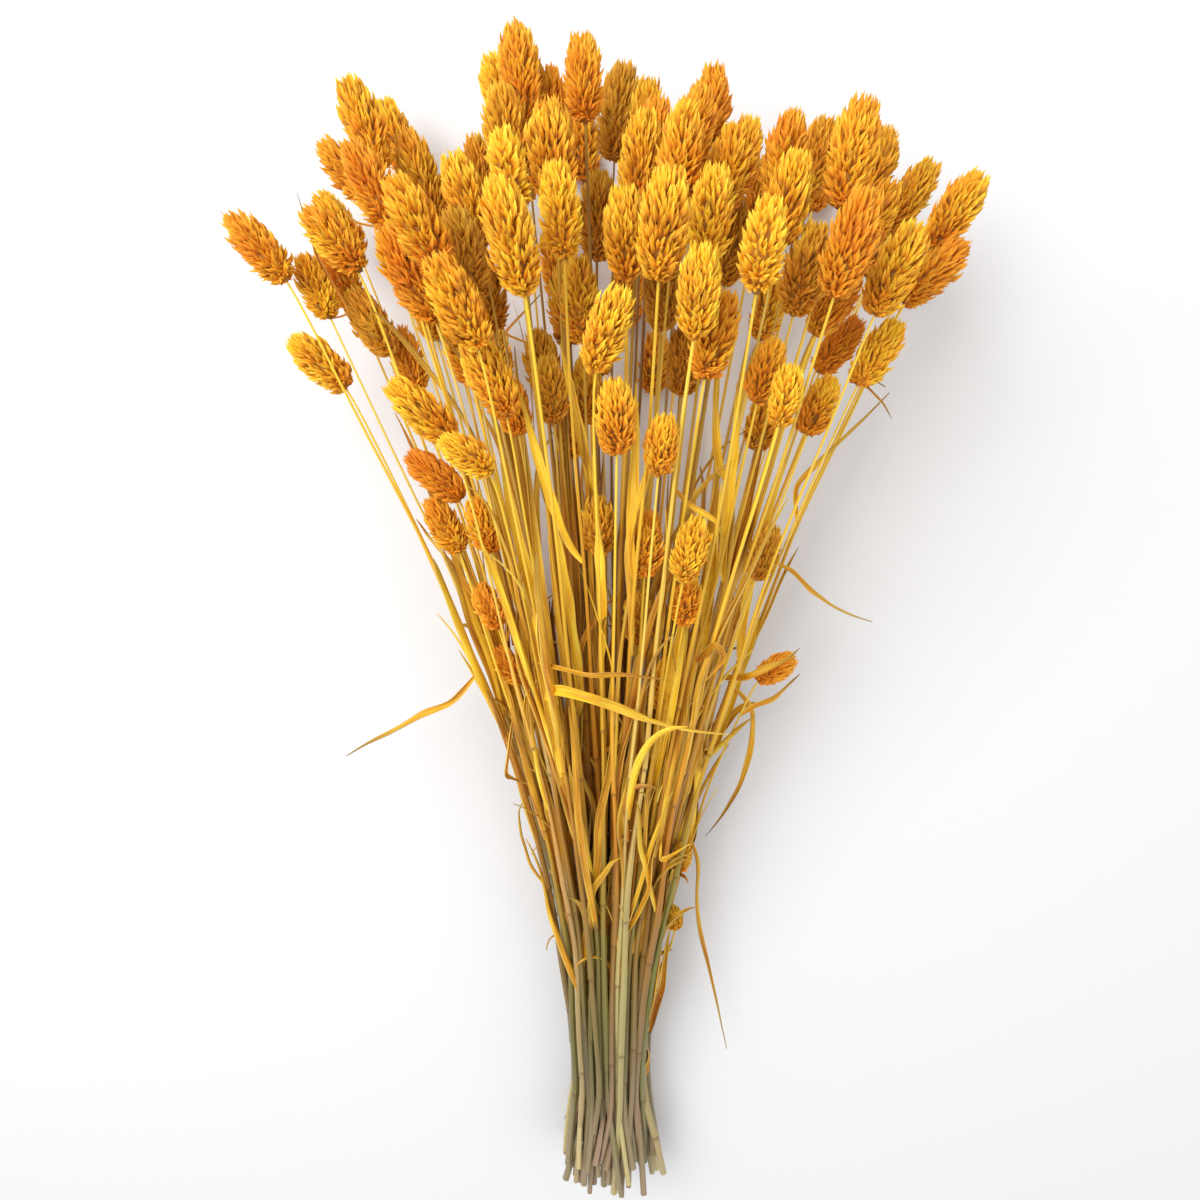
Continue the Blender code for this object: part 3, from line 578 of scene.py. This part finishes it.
def headCore(base, axis, length, radius):
    # Core(u, a) = base + axis u L + out(a) coreShare outline(u) R, closed at both ends.
    side, top = headSides(axis)
    u = np.linspace(0.0, coreTop, len(coreTaper))
    a = np.arange(coreSides) * 2 * np.pi / coreSides
    wide = headLook["coreShare"] * outline(u) * radius * coreTaper
    out = side * np.cos(a)[:, None] + top * np.sin(a)[:, None]
    points = base + axis * (u * length)[:, None, None] + out[None] * wide[:, None, None]
    count = points.shape[0] * points.shape[1]
    # Painted shade: reach 0 gives the core the darkest root colour of the scale ramps, shade between the
    # spikelets.
    marks = {"reach": np.full(count, 0.0), "edge": np.zeros(count), "tone": np.full(count, 0.3),
             "upHead": np.repeat(u, coreSides)}
    return points.reshape(-1, 3), ringFaces(len(coreTaper), coreSides), marks


# Stems

fineLine, bladeLine, stemLine = (120, 14), (48, 10), (60, 8)  # points of a path and passes that round it
stemLook = {
    "taper": ([0, 0.30, 0.62, 1], [0.00172, 0.00160, 0.00085, 0.00046]),  # radius along a stem
    "sides": 7,
    "stations": 44,
    "sway": 0.0015,  # how far a stem leaves its even line
    "joint": 0.00038,  # how far a joint stands out
    "jointLong": 0.0011,
    "joints": (0.14, 0.36, 0.60),
    "sheath": 0.00022,  # how much thicker a stem is in a sheath, which starts at a joint
    "sheathLong": 0.045,
    "hollow": 0.5,  # radius of the hollow against the stem's, and its depth
    "hollowDeep": 0.003,
}


def smoothPath(knots, count, passes):
    # Points evenly along the line through the knots, each pass moving them to their neighbours' mean.
    steps = np.append(0, np.cumsum(np.linalg.norm(np.diff(knots, axis=0), axis=1)))
    at = np.linspace(0, steps[-1], count)
    path = np.stack([np.interp(at, steps, knots[:, c]) for c in range(3)], 1)
    for turn in range(passes):
        path[1:-1] = 0.5 * path[1:-1] + 0.25 * (path[:-2] + path[2:])
    return path, at / steps[-1]


def pathSides(path):
    # Directions along, level across and up from the path at each point.
    ahead = unit(np.gradient(path, axis=0))
    side = unit(np.cross(ahead, [0.0, 0.0, 1.0]) + [1e-6, 0, 0])
    return ahead, side, np.cross(side, ahead)


def openness(path):
    # 0 on the bunch's middle line, 1 at its outside, by the fan's own widths at each place along it.
    along = path[:, 1] - bunchShift[1]
    across = (path[:, 0] - bunchShift[0] - fanMiddle) / fanReach[0]
    up = (path[:, 2] - middleHeight(along)) / fanReach[1]
    return np.clip(np.hypot(across, up) / spread(along) / 1.15, 0, 1)


def stem(knots, tone, rng):
    # Tube(s, a) = path(s) + out(a) r(s); r follows the taper and swells by joint exp(-(d / jointLong)^2). The
    # first two rings line the hollow of the cut end.
    look = stemLook
    rough, at = smoothPath(knots, *fineLine)
    long = np.linalg.norm(np.diff(rough, axis=0), axis=1).sum()
    joints = np.array(look["joints"]) + rng.uniform(-0.06, 0.06, 3)
    close = (joints[:, None] + np.array([-1.5, -0.7, 0, 0.7, 1.5]) * look["jointLong"] / long).ravel()
    s = np.sort(np.concatenate([np.linspace(0, 1, look["stations"]), close]))
    path = np.stack([np.interp(s, at, rough[:, c]) for c in range(3)], 1)
    ahead, side, top = pathSides(path)
    swell = look["sway"] * np.sin(np.pi * s) ** 0.7
    for way in (side, 0.6 * top):
        wave = np.sin(s * rng.uniform(5, 11) + rng.uniform(0, 6)) + 0.4 * np.sin(s * rng.uniform(14, 26))
        path += way * (swell * wave * rng.uniform(0.3, 1))[:, None]
    thick = np.interp(s, *look["taper"]) * rng.uniform(0.82, 1.16)
    away = (s[:, None] - joints[None]) * long
    thick += look["joint"] * np.exp(-((away / look["jointLong"]) ** 2)).sum(1)
    thick += look["sheath"] * ((away > 0) & (away < look["sheathLong"])).any(1)
    twice = [0, 0]
    s, away, side, top = (np.concatenate([v[twice], v]) for v in (s, away, side, top))
    path = np.concatenate([[path[0] + look["hollowDeep"] * ahead[0], path[0]], path])
    thick = np.concatenate([thick[twice] * look["hollow"], thick])
    sides = look["sides"]
    a = rng.uniform(0, 6) + np.arange(sides) * 2 * np.pi / sides
    out = side[:, None] * np.cos(a)[None, :, None] + top[:, None] * np.sin(a)[None, :, None]
    points = path[:, None] + out * thick[:, None, None]
    count = len(s) * sides
    near = np.exp(-((away / look["jointLong"]) ** 2)).max(1)
    near[0] = 1
    run = s * long + rng.uniform(0, 9)
    # bright is the stem's openness, which the stalk finish turns into painted light outside the bunch and
    # painted shade inside it.
    marks = {"reach": np.repeat(s, sides), "tone": np.full(count, tone), "joint": np.repeat(near, sides),
             "run": np.repeat(run, sides), "side": np.tile(np.cos(a), len(s)),
             "vary": np.full(count, rng.uniform()), "bright": np.repeat(openness(path), sides)}
    return points.reshape(-1, 3), ringFaces(len(s), sides), marks


# Blades

bladeThick = 0.00018  # half of it
bladeSection = np.array([(-1, 0, 1), (-0.55, -0.8, 1), (0, -1, 1), (0.55, -0.8, 1), (1, 0, 1),
                         (1, 0, -1), (0.55, -0.8, -1), (0, -1, -1), (-0.55, -0.8, -1), (-1, 0, -1)])


def blade(path, wide, roll, fold, tone, dry):
    # Blade(s, c) = path(s) + across(s) x_c w(s) + up(s) (y_c fold w(s) + z_c thick), turned by roll(s) on its
    # path.
    ahead, side, top = pathSides(path)
    cos, sin = np.cos(roll)[:, None], np.sin(roll)[:, None]
    across, up = side * cos + top * sin, top * cos - side * sin
    out, sink, skin = bladeSection.T
    lift = np.outer(fold * wide, sink) + skin * bladeThick
    points = path[:, None] + across[:, None] * np.outer(wide, out)[..., None] + up[:, None] * lift[..., None]
    share = np.linspace(0, 1, len(path))
    run = share * np.linalg.norm(np.diff(path, axis=0), axis=1).sum() + 7 * tone
    sides = len(out)
    marks = {"reach": np.repeat(share, sides), "tone": np.full(sides * len(path), tone),
             "side": np.tile(out[::-1], len(path)), "run": np.repeat(run, sides),
             "dry": np.full(sides * len(path), dry)}
    return points[:, ::-1].reshape(-1, 3), ringFaces(len(path), sides), marks


# Finishes

def finish(name, specular, roughness):
    # Returns a material, its node tree and its shader.
    made = bpy.data.materials.new(name)
    made.use_nodes = True
    tree = made.node_tree
    shader = tree.nodes["Principled BSDF"]
    shader.inputs["Roughness"].default_value = roughness
    shader.inputs["Specular IOR Level"].default_value = specular
    return made, tree, shader


def readMarks(tree, *marks):
    # Values that a mesh keeps under these names.
    readers = [tree.nodes.new("ShaderNodeAttribute") for mark in marks]
    for reader, mark in zip(readers, marks):
        reader.attribute_name = mark
    return [reader.outputs["Fac"] for reader in readers]


def ramp(tree, value, places, codes):
    # Colour along value: a colour code at each place.
    shades = [colour(code) for code in codes.split()]
    made = tree.nodes.new("ShaderNodeValToRGB")
    bar = made.color_ramp.elements
    bar[0].position, bar[0].color = places[0], shades[0]
    bar[1].position, bar[1].color = places[-1], shades[-1]
    for place, shade in zip(places[1:-1], shades[1:-1]):
        bar.new(place).color = shade
    tree.links.new(value, made.inputs["Fac"])
    return made.outputs["Color"]


def feed(tree, value, socket):
    # Links another socket to this one, or sets it to a number or a colour code.
    if isinstance(value, bpy.types.NodeSocket):
        tree.links.new(value, socket)
    else:
        socket.default_value = colour(value) if isinstance(value, str) else value


def mixed(tree, share, one, other):
    # The first colour at share 0 and the other at 1.
    made = tree.nodes.new("ShaderNodeMix")
    made.data_type = "RGBA"
    for value, place in ((share, 0), (one, 6), (other, 7)):
        feed(tree, value, made.inputs[place])
    return made.outputs[2]


def sums(tree, kind, *values, clamp=False):
    # The sum or other operation of this kind.
    made = tree.nodes.new("ShaderNodeMath")
    made.operation = kind
    made.use_clamp = clamp
    for value, socket in zip(values, made.inputs):
        feed(tree, value, socket)
    return made.outputs[0]


def times(tree, one, other, clamp=False):
    return sums(tree, "MULTIPLY", one, other, clamp=clamp)


def fit(tree, value, gain, offset, clamp=False):
    # Value times gain plus offset.
    return sums(tree, "MULTIPLY_ADD", value, gain, offset, clamp=clamp)


def noise(tree, place, scale, detail):
    # Noise at a place, finer with scale.
    made = tree.nodes.new("ShaderNodeTexNoise")
    made.inputs["Scale"].default_value = scale
    made.inputs["Detail"].default_value = detail
    tree.links.new(place, made.inputs["Vector"])
    return made.outputs["Fac"]


def grain(tree, scale, stretch, detail):
    # Noise on Object coordinates, each stretched by its own share.
    place = tree.nodes.new("ShaderNodeTexCoord")
    turn = tree.nodes.new("ShaderNodeMapping")
    turn.inputs["Scale"].default_value = stretch
    tree.links.new(place.outputs["Object"], turn.inputs["Vector"])
    return noise(tree, turn.outputs["Vector"], scale, detail)


def fibres(tree, side, run, fine):
    # Noise that runs along a stem or blade: across it by side, along it by run.
    place = tree.nodes.new("ShaderNodeCombineXYZ")
    tree.links.new(times(tree, side, 1.6), place.inputs["X"])
    tree.links.new(times(tree, run, 16.0), place.inputs["Y"])
    return noise(tree, place.outputs["Vector"], fine, 4.0)


def dress(tree, shader, body, height, strength, distance):
    # Gives the surface its colour, and height as a bump.
    tree.links.new(body, shader.inputs["Base Color"])
    bump = tree.nodes.new("ShaderNodeBump")
    bump.inputs["Strength"].default_value = strength
    bump.inputs["Distance"].default_value = distance
    tree.links.new(height, bump.inputs["Height"])
    tree.links.new(bump.outputs["Normal"], shader.inputs["Normal"])


scaleLook = {  # colour codes from the root of a spikelet to its tip; the dark roots are painted shade between the spikelets
    "places": [0.0, 0.32, 0.60, 0.88, 1.0],
    "deep": "6E2C02 B85C06 EE8E10 F7A21A E07A10",
    "bright": "8A4204 D6820E FCC01E FFDE3C FBC02A",
}
stalkLook = {  # from the cut end to the head
    "places": [0.0, 0.20, 0.38, 0.56, 0.74, 1.0],
    "green": "8E8260 6E6E3A 827E38 C4962A E8AC28 FACE40",
    "warm": "A28670 8C704A A0702E CC801C E89A20 F8C83A",
}
streakLook = {  # across the streaks of a blade; dark also serves as painted shade for low-toned blades
    "light": ([0.30, 0.46, 0.62], "EE9A14 FAC424 FFE548"),
    "dark": ([0.30, 0.48, 0.66], "6E3806 B0620E DE8C1C"),
}


def scaleFinish():
    # Orange to yellow from root to tip of a spikelet, with a pale keel and fine veins along it; the dark
    # roots are painted shade between the spikelets, and the yellow share, the sunny patches and the brown
    # heads carry painted light and shade.
    made, tree, shader = finish("dyedScales", 0.2, 0.66)
    reach, tone, yellowAndPaintedLight, edge, paintedShadeBrown, red = readMarks(tree, "reach", "tone", "yellowAndPaintedLight", "edge", "paintedShadeBrown", "red")
    mottle = grain(tree, 900, (1, 0.4, 1), 3.0)
    # Painted light: broad noise patches make one side of a head yellow and another orange, a painted sunny
    # side.
    paintedSunPatch = grain(tree, 75, (1, 1, 1), 1.0)
    shade = fit(tree, mottle, 0.24, sums(tree, "ADD", reach, -0.12))
    deep, bright = (ramp(tree, shade, scaleLook["places"], scaleLook[codes]) for codes in ("deep", "bright"))
    # Share of the yellow ramp: random tone and dye, plus painted light from the head's height and from the
    # place up the head.
    share = fit(tree, tone, 0.40, sums(tree, "ADD", yellowAndPaintedLight, -0.20))
    share = fit(tree, sums(tree, "SUBTRACT", paintedSunPatch, 0.5), 2.2, share, clamp=True)
    body = mixed(tree, share, deep, bright)
    # Painted shade: spikelets whose random tone is above 0.85 are darkened to brown.
    body = mixed(tree, fit(tree, tone, 4.0, -3.4, clamp=True), body, "A65206")
    body = mixed(tree, times(tree, red, 0.8), body, "E27410")
    # Painted shade: the listed heads are darkened toward brown.
    body = mixed(tree, times(tree, paintedShadeBrown, 0.85), body, "B47614")
    vein = sums(tree, "SINE", times(tree, edge, 16.0))
    body = mixed(tree, times(tree, vein, 0.22, clamp=True), body, "8A4406")
    keel = times(tree, sums(tree, "SUBTRACT", 1.0, edge), 0.14)
    body = mixed(tree, keel, body, "FFE470")
    dress(tree, shader, body, mottle, 0.35, 0.0004)
    return made


def stalkFinish():
    # Olive or straw below, orange in the middle, yellow above; painted shade makes stems browner deep in the
    # bunch, and a painted highlight makes the outer stems light yellow towards the heads.
    made, tree, shader = finish("dyedStalk", 0.5, 0.36)
    reach, tone, joint, bright, vary = readMarks(tree, "reach", "tone", "joint", "bright", "vary")
    streak = fibres(tree, *readMarks(tree, "side", "run"), 1.8)
    place = fit(tree, streak, 0.36, sums(tree, "ADD", reach, -0.18))
    green, warm = (ramp(tree, place, stalkLook["places"], stalkLook[codes]) for codes in ("green", "warm"))
    body = mixed(tree, tone, green, warm)
    upper = fit(tree, reach, 3.5, -0.9, clamp=True)
    orange = times(tree, upper, fit(tree, vary, -1.8, 0.8, clamp=True))
    body = mixed(tree, orange, body, "A4600E")
    body = mixed(tree, fit(tree, vary, 2.5, -1.9, clamp=True), body, "DCCB8A")
    # Painted highlight: outer stems turn light yellow towards the head.
    high = times(tree, bright, fit(tree, reach, 1.8, -0.9, clamp=True))
    body = mixed(tree, times(tree, high, 0.85), body, "FFDC40")
    body = mixed(tree, times(tree, joint, 0.65), body, "6A4418")
    # Painted shade: stems deep in the bunch turn dark brown.
    paintedDepthShade = fit(tree, bright, -1.7, 1.25, clamp=True)
    body = mixed(tree, times(tree, paintedDepthShade, 0.85), body, "6A3C0A")
    dress(tree, shader, body, streak, 0.4, 0.0003)
    return made


def bladeFinish():
    # Fine streaks along the blade over wider bands of orange, a pale rim, and an olive dry tip; a low tone
    # gives the dark streaks, painted shade for blades deep in the bunch.
    made, tree, shader = finish("dyedBlade", 0.35, 0.46)
    reach, tone, side, run, dried = readMarks(tree, "reach", "tone", "side", "run", "dry")
    streak = fibres(tree, side, run, 2.6)
    band = fibres(tree, times(tree, side, 0.4), times(tree, run, 1.5), 1.0)
    light, dark = (ramp(tree, streak, *streakLook[codes]) for codes in ("light", "dark"))
    # Painted shade: a low tone picks the dark streaks.
    share = fit(tree, band, 2.0, sums(tree, "ADD", tone, -1.0), clamp=True)
    body = mixed(tree, share, dark, light)
    rim = times(tree, sums(tree, "POWER", sums(tree, "ABSOLUTE", side), 4.0), 0.35)
    body = mixed(tree, rim, body, "FFE870")
    tip = times(tree, sums(tree, "POWER", reach, 3.0), dried)
    body = mixed(tree, tip, body, "6E6230")
    dress(tree, shader, body, streak, 0.6, 0.0004)
    return made


dyedScales, dyedStalk, dyedBlade = scaleFinish(), stalkFinish(), bladeFinish()

# Every stem with its head

rng = np.random.default_rng(5)
headParts, stalkParts, bladeParts = ([[] for pair in pairs] for kind in range(3))
look = headLook
for s in range(stemCount):
    base = control[s, -1] + bunchShift
    height, size = heads[s][2], heads[s][4]
    thin = look["thin"] if height < look["thinBelow"] else 1
    count = int(look["count"] * (0.55 + 0.45 * size) * thin)
    # Painted light: higher heads are painted a lighter yellow; the random range and the yellow heads add
    # their own dye.
    yellowAndPaintedLight = look["yellowAndPaintedLight"] + look["paintedLightRise"] * (height / 1000 - 0.10)
    yellowAndPaintedLight += rng.uniform(-look["yellowRange"], look["yellowRange"]) + look["yellowHeadShare"] * yellowHeads.get(s, 0)
    grow = openHeads.get(s, 1)
    count = int(count / grow**2)
    shape = (base, axes[s], lengths[s], radii[s])
    for points, faces, marks in (spikelets(*shape, count, grow, rng), headCore(*shape)):
        # Painted light: each head is painted lighter towards its tip.
        marks["yellowAndPaintedLight"] = yellowAndPaintedLight + 0.5 * (marks["upHead"] - 0.5)
        # Painted shade: share of brown for the listed heads.
        marks["paintedShadeBrown"] = np.full(len(points), paintedShadeHeads.get(s, 0))
        marks["red"] = redHeads.get(s, 0) * np.clip(1.2 * marks["upHead"], 0.4, 1)
        headParts[node[s]].append((points, faces, marks))
    knots = np.concatenate([control[s] + bunchShift, [base + axes[s] * 0.12 * lengths[s]]])
    stalkParts[node[s]].append(stem(knots, rng.uniform(0, 1), rng))
print("stems and heads made")

# Blades that the solids have too

# "wide" is the width against the solid's, and "ends" gives the share of it at each of endsAt
endsAt = [0, 0.15, 0.55, 0.85, 1]
alongLook = {"wide": 0.8, "fold": 0.6, "ends": [0.35, 0.85, 1.0, 0.6, 0.06], "dry": 0.2}
besideLook = {"wide": 0.62, "fold": 0.85, "ends": [0.40, 0.95, 1.0, 0.40, 0.04], "tone": 0.45, "dry": 0.8}
overLook = {**besideLook, "wide": 0.75, "tone": 0.85, "dry": 0.2}
overHook = np.array([-0.001, -0.008, -0.005])  # where the blade that lies over starts, from its solid's start


def addBlade(strand, route, width, tone, twist, look):
    # Half width: width / 2 wide ends(s), waving by a tenth. Roll: twist 0 + twist 1 s + 0.35 sin(twist 2 s).
    path, share = smoothPath(route + bunchShift, *bladeLine)
    wide = width / 2000 * look["wide"] * np.interp(share, endsAt, look["ends"])
    wide *= 1 + 0.10 * np.sin(share * twist[2] * 2.3)
    roll = twist[0] + twist[1] * share + 0.35 * np.sin(share * twist[2])
    bladeParts[node[strand]].append(blade(path, wide, roll, look["fold"], tone, look["dry"]))


for strand, (*_, width) in enumerate(alongBlades, stemCount):
    twist = (rng.uniform(-0.5, 0.5), rng.uniform(-1.6, 1.6), rng.uniform(6, 12))
    addBlade(strand, control[strand], width, rng.uniform(0.5, 1), twist, alongLook)
free = ~np.isin(node[:stemCount], node[stemCount:])
for bends, width, over in looseBlades:
    route, strand = looseBlade(bends, width, over, control, stemCount, free, cloud)
    free &= node[:stemCount] != node[strand]
    twist = (rng.uniform(0.2, 0.7), rng.uniform(-2.2, 2.2), rng.uniform(6, 12))
    if over:
        route = np.concatenate([route[:1] + overHook, route])
    look = overLook if over else besideLook
    addBlade(strand, route, width, look["tone"], twist, look)

# More blades, by rule: leaf sheaths along the stems, leaves, shreds, curls and threads

bladeKinds = {  # share of all, heading, curl, half width and length, each from least to most
    "sheath": (0.38, (0.00, 0.07), (0.0, 0.3), (0.0014, 0.0028), (0.07, 0.16)),
    "leaf": (0.30, (0.04, 0.20), (0.2, 1.0), (0.0009, 0.0021), (0.05, 0.13)),
    "shred": (0.14, (0.05, 0.50), (0.5, 2.2), (0.0012, 0.0026), (0.02, 0.05)),
    "curl": (0.06, (0.10, 0.40), (1.6, 3.4), (0.0005, 0.0012), (0.03, 0.07)),
    "thread": (0.12, (0.03, 0.20), (0.0, 0.6), (0.00025, 0.0005), (0.05, 0.12)),
}
moreBlades = {
    "each": 3.0,  # blades a stem
    "kink": 0.10,
    "from": 0.28,  # lowest and highest root, as a share of the stem
    "to": 0.72,
    "steps": 30,
    "wave": 0.06,
    "ends": ([0, 0.1, 0.5, 0.85, 1], [0.5, 0.9, 1, 0.6, 0.05]),  # share of the width along a blade
    "lowest": 0.001,
    "shredTone": 0.5,
}


def sideBlade(strand, rng):
    # Heading h(s) = open sqrt(s) + curl s^3 + wave + a kink, from the stem's own direction; the path is the
    # sum of even steps along it. Low and inner blades get a lower tone, painted shade that the blade finish
    # turns browner.
    look = moreBlades
    steps = look["steps"]
    kind = rng.choice(list(bladeKinds), p=[k[0] for k in bladeKinds.values()])
    opening, curl, half, long = (rng.uniform(*least) for least in bladeKinds[kind][1:])
    path = smoothPath(control[strand] + bunchShift, *stemLine)[0]
    root = int(len(path) * rng.uniform(look["from"], look["to"]))
    ahead = unit(path[root + 1] - path[root])
    angle = rng.uniform(0, 2 * np.pi)
    side = unit(np.cross(ahead, [0.0, 0.0, 1.0]))
    away = side * np.cos(angle) + np.cross(side, ahead) * np.sin(angle)
    s = np.linspace(0, 1, steps)
    heading = opening * np.sqrt(s) + curl * s**3 + look["wave"] * np.sin(s * rng.uniform(5, 16))
    heading += rng.normal(0, look["kink"]) * np.tanh(14 * (s - rng.uniform(0.2, 0.9)))
    step = (ahead * np.cos(heading)[:, None] + away * np.sin(heading)[:, None]) * long / steps
    route = path[root] + np.cumsum(step, axis=0) - step[0]
    route[:, 2] = np.maximum(route[:, 2], look["lowest"])
    wide = half * np.interp(s, *look["ends"])
    roll = rng.uniform(0, 3) + rng.uniform(-3, 3) * s
    # Painted shade: blades rooted low on the stem and deep in the bunch get a lower tone, which gives the
    # darker streaks.
    high = min(1, 0.3 + 3.2 * (root / len(path) - look["from"]))
    tone = openness(route).mean() ** 1.5 * rng.uniform(0.1, 1.2) * high
    if kind == "shred":
        tone *= look["shredTone"]
    return blade(route, wide, roll, rng.uniform(0.3, 1.0), tone, rng.uniform(0, 0.6))


# Thin strands that stand out of the crown, and others that lie over the stems: column, row and height in
# millimetres of each bend, width in millimetres, share of light yellow, and how dry the tip is.
crownStrands = [
    ([(258, 284, 95), (240, 268, 95), (220, 248, 95)], 0.9, 0.0, 1.0),
    ([(352, 352, 84), (318, 296, 84), (299, 233, 84)], 0.9, 0.0, 1.0),
    ([(356, 262, 112), (345, 248, 112), (333, 236, 112)], 0.9, 0.1, 1.0),
    ([(504, 371, 123), (522, 352, 123), (540, 333, 123)], 0.9, 0.1, 1.0),
    ([(864, 420, 98), (876, 418, 98), (886, 424, 98)], 0.9, 0.1, 1.0),
    ([(868, 424, 98), (884, 440, 98), (893, 456, 98)], 0.9, 0.1, 1.0),
]
overStrands = [
    ([(540, 700, 96), (590, 698, 98), (622, 702, 98), (672, 711, 92)], 2.0, 0.4, 0.3),
    ([(598, 792, 70), (618, 778, 76), (642, 776, 76)], 1.6, 0.3, 0.2),
    ([(652, 866, 56), (660, 884, 60), (676, 887, 60), (690, 878, 56)], 2.6, 0.9, 0.1),
    ([(664, 528, 110), (690, 542, 120), (716, 556, 116), (724, 578, 104)], 2.2, 0.6, 0.2),
    ([(690, 700, 88), (712, 672, 96), (724, 688, 94), (700, 716, 86)], 2.8, 0.3, 0.3),
    ([(514, 756, 62), (508, 800, 56), (516, 822, 54), (532, 828, 54)], 2.0, 0.2, 0.3),
]
stemLines = np.array([smoothPath(control[s], *stemLine)[0] for s in range(stemCount)])
for number, (bends, width, tone, dry) in enumerate(crownStrands + overStrands):
    if number < len(crownStrands):
        route = fromBends(bends)
        gap = np.linalg.norm(stemLines - route[0], axis=2)
        strand, at = np.unravel_index(np.argmin(gap), gap.shape)
        route = np.concatenate([stemLines[strand, at][None], route])
    else:
        route, strand = looseBlade(bends, width, True, control, stemCount, np.ones(stemCount, bool), cloud)
    twist = (rng.uniform(0, 1), rng.uniform(-1, 1), rng.uniform(4, 9))
    addBlade(strand, route, width, tone, twist, {**besideLook, "wide": 1, "fold": 0.7, "dry": dry})

for turn in range(int(stemCount * moreBlades["each"])):
    strand = int(rng.integers(stemCount))
    bladeParts[node[strand]].append(sideBlade(strand, rng))
print("blades made")

kinds = [("heads", headParts, dyedScales), ("stalks", stalkParts, dyedStalk),
         ("blades", bladeParts, dyedBlade)]
for number in range(len(pairs)):
    name = f"{number + 1:02d}"
    for kind, parts, made in kinds:
        if parts[number]:
            putIn(f"{kind}_{name}", parts[number], made, f"stem_pair_{name}")

# Floor, light and camera

half = 30
floorMesh = bpy.data.meshes.new("floor")
corners = [(-half, -half, 0), (half, -half, 0), (half, half, 0), (-half, half, 0)]
floorMesh.from_pydata(corners, [], [(0, 1, 2, 3)])
floor = bpy.data.objects.new("floor", floorMesh)
scene.collection.objects.link(floor)
pale, tree, shader = finish("paleFloor", 0.2, 0.8)
shader.inputs["Base Color"].default_value = (0.80, 0.80, 0.81, 1)
floorMesh.materials.append(pale)

lights = [  # name, place, size, watts
    ("key", (-0.50, 0.50, 0.95), 0.8, 11.5),
    ("fill", (0.8, -0.2, 0.9), 0.9, 2.5),
]
lightAim = (0.0, 0.05, 0.05)
worldLight = 0.66
for name, place, size, watts in lights:
    lamp = bpy.data.lights.new(name, "AREA")
    lamp.size, lamp.energy = size, watts
    lit = bpy.data.objects.new(name, lamp)
    lit.location = place
    x, y, z = np.array(lightAim) - np.array(place)
    lit.rotation_euler = (math.atan2(math.hypot(x, y), -z), 0, math.atan2(y, x) - math.pi / 2)
    scene.collection.objects.link(lit)
world = bpy.data.worlds.new("soft")
world.use_nodes = True
sky = world.node_tree.nodes["Background"].inputs
sky["Color"].default_value = (1, 1, 1, 1)
sky["Strength"].default_value = worldLight
scene.world = world
scene.view_settings.view_transform = "Standard"

viewLook = {"lens": 26.7, "sensor": 36, "tilt": 12.4}
lens = bpy.data.cameras.new("view")
lens.lens = viewLook["lens"]
lens.sensor_width = viewLook["sensor"]
camera = bpy.data.objects.new("view", lens)
camera.location = eye + bunchShift
camera.rotation_euler = (-math.radians(viewLook["tilt"]), 0, 0)
scene.collection.objects.link(camera)
scene.camera = camera
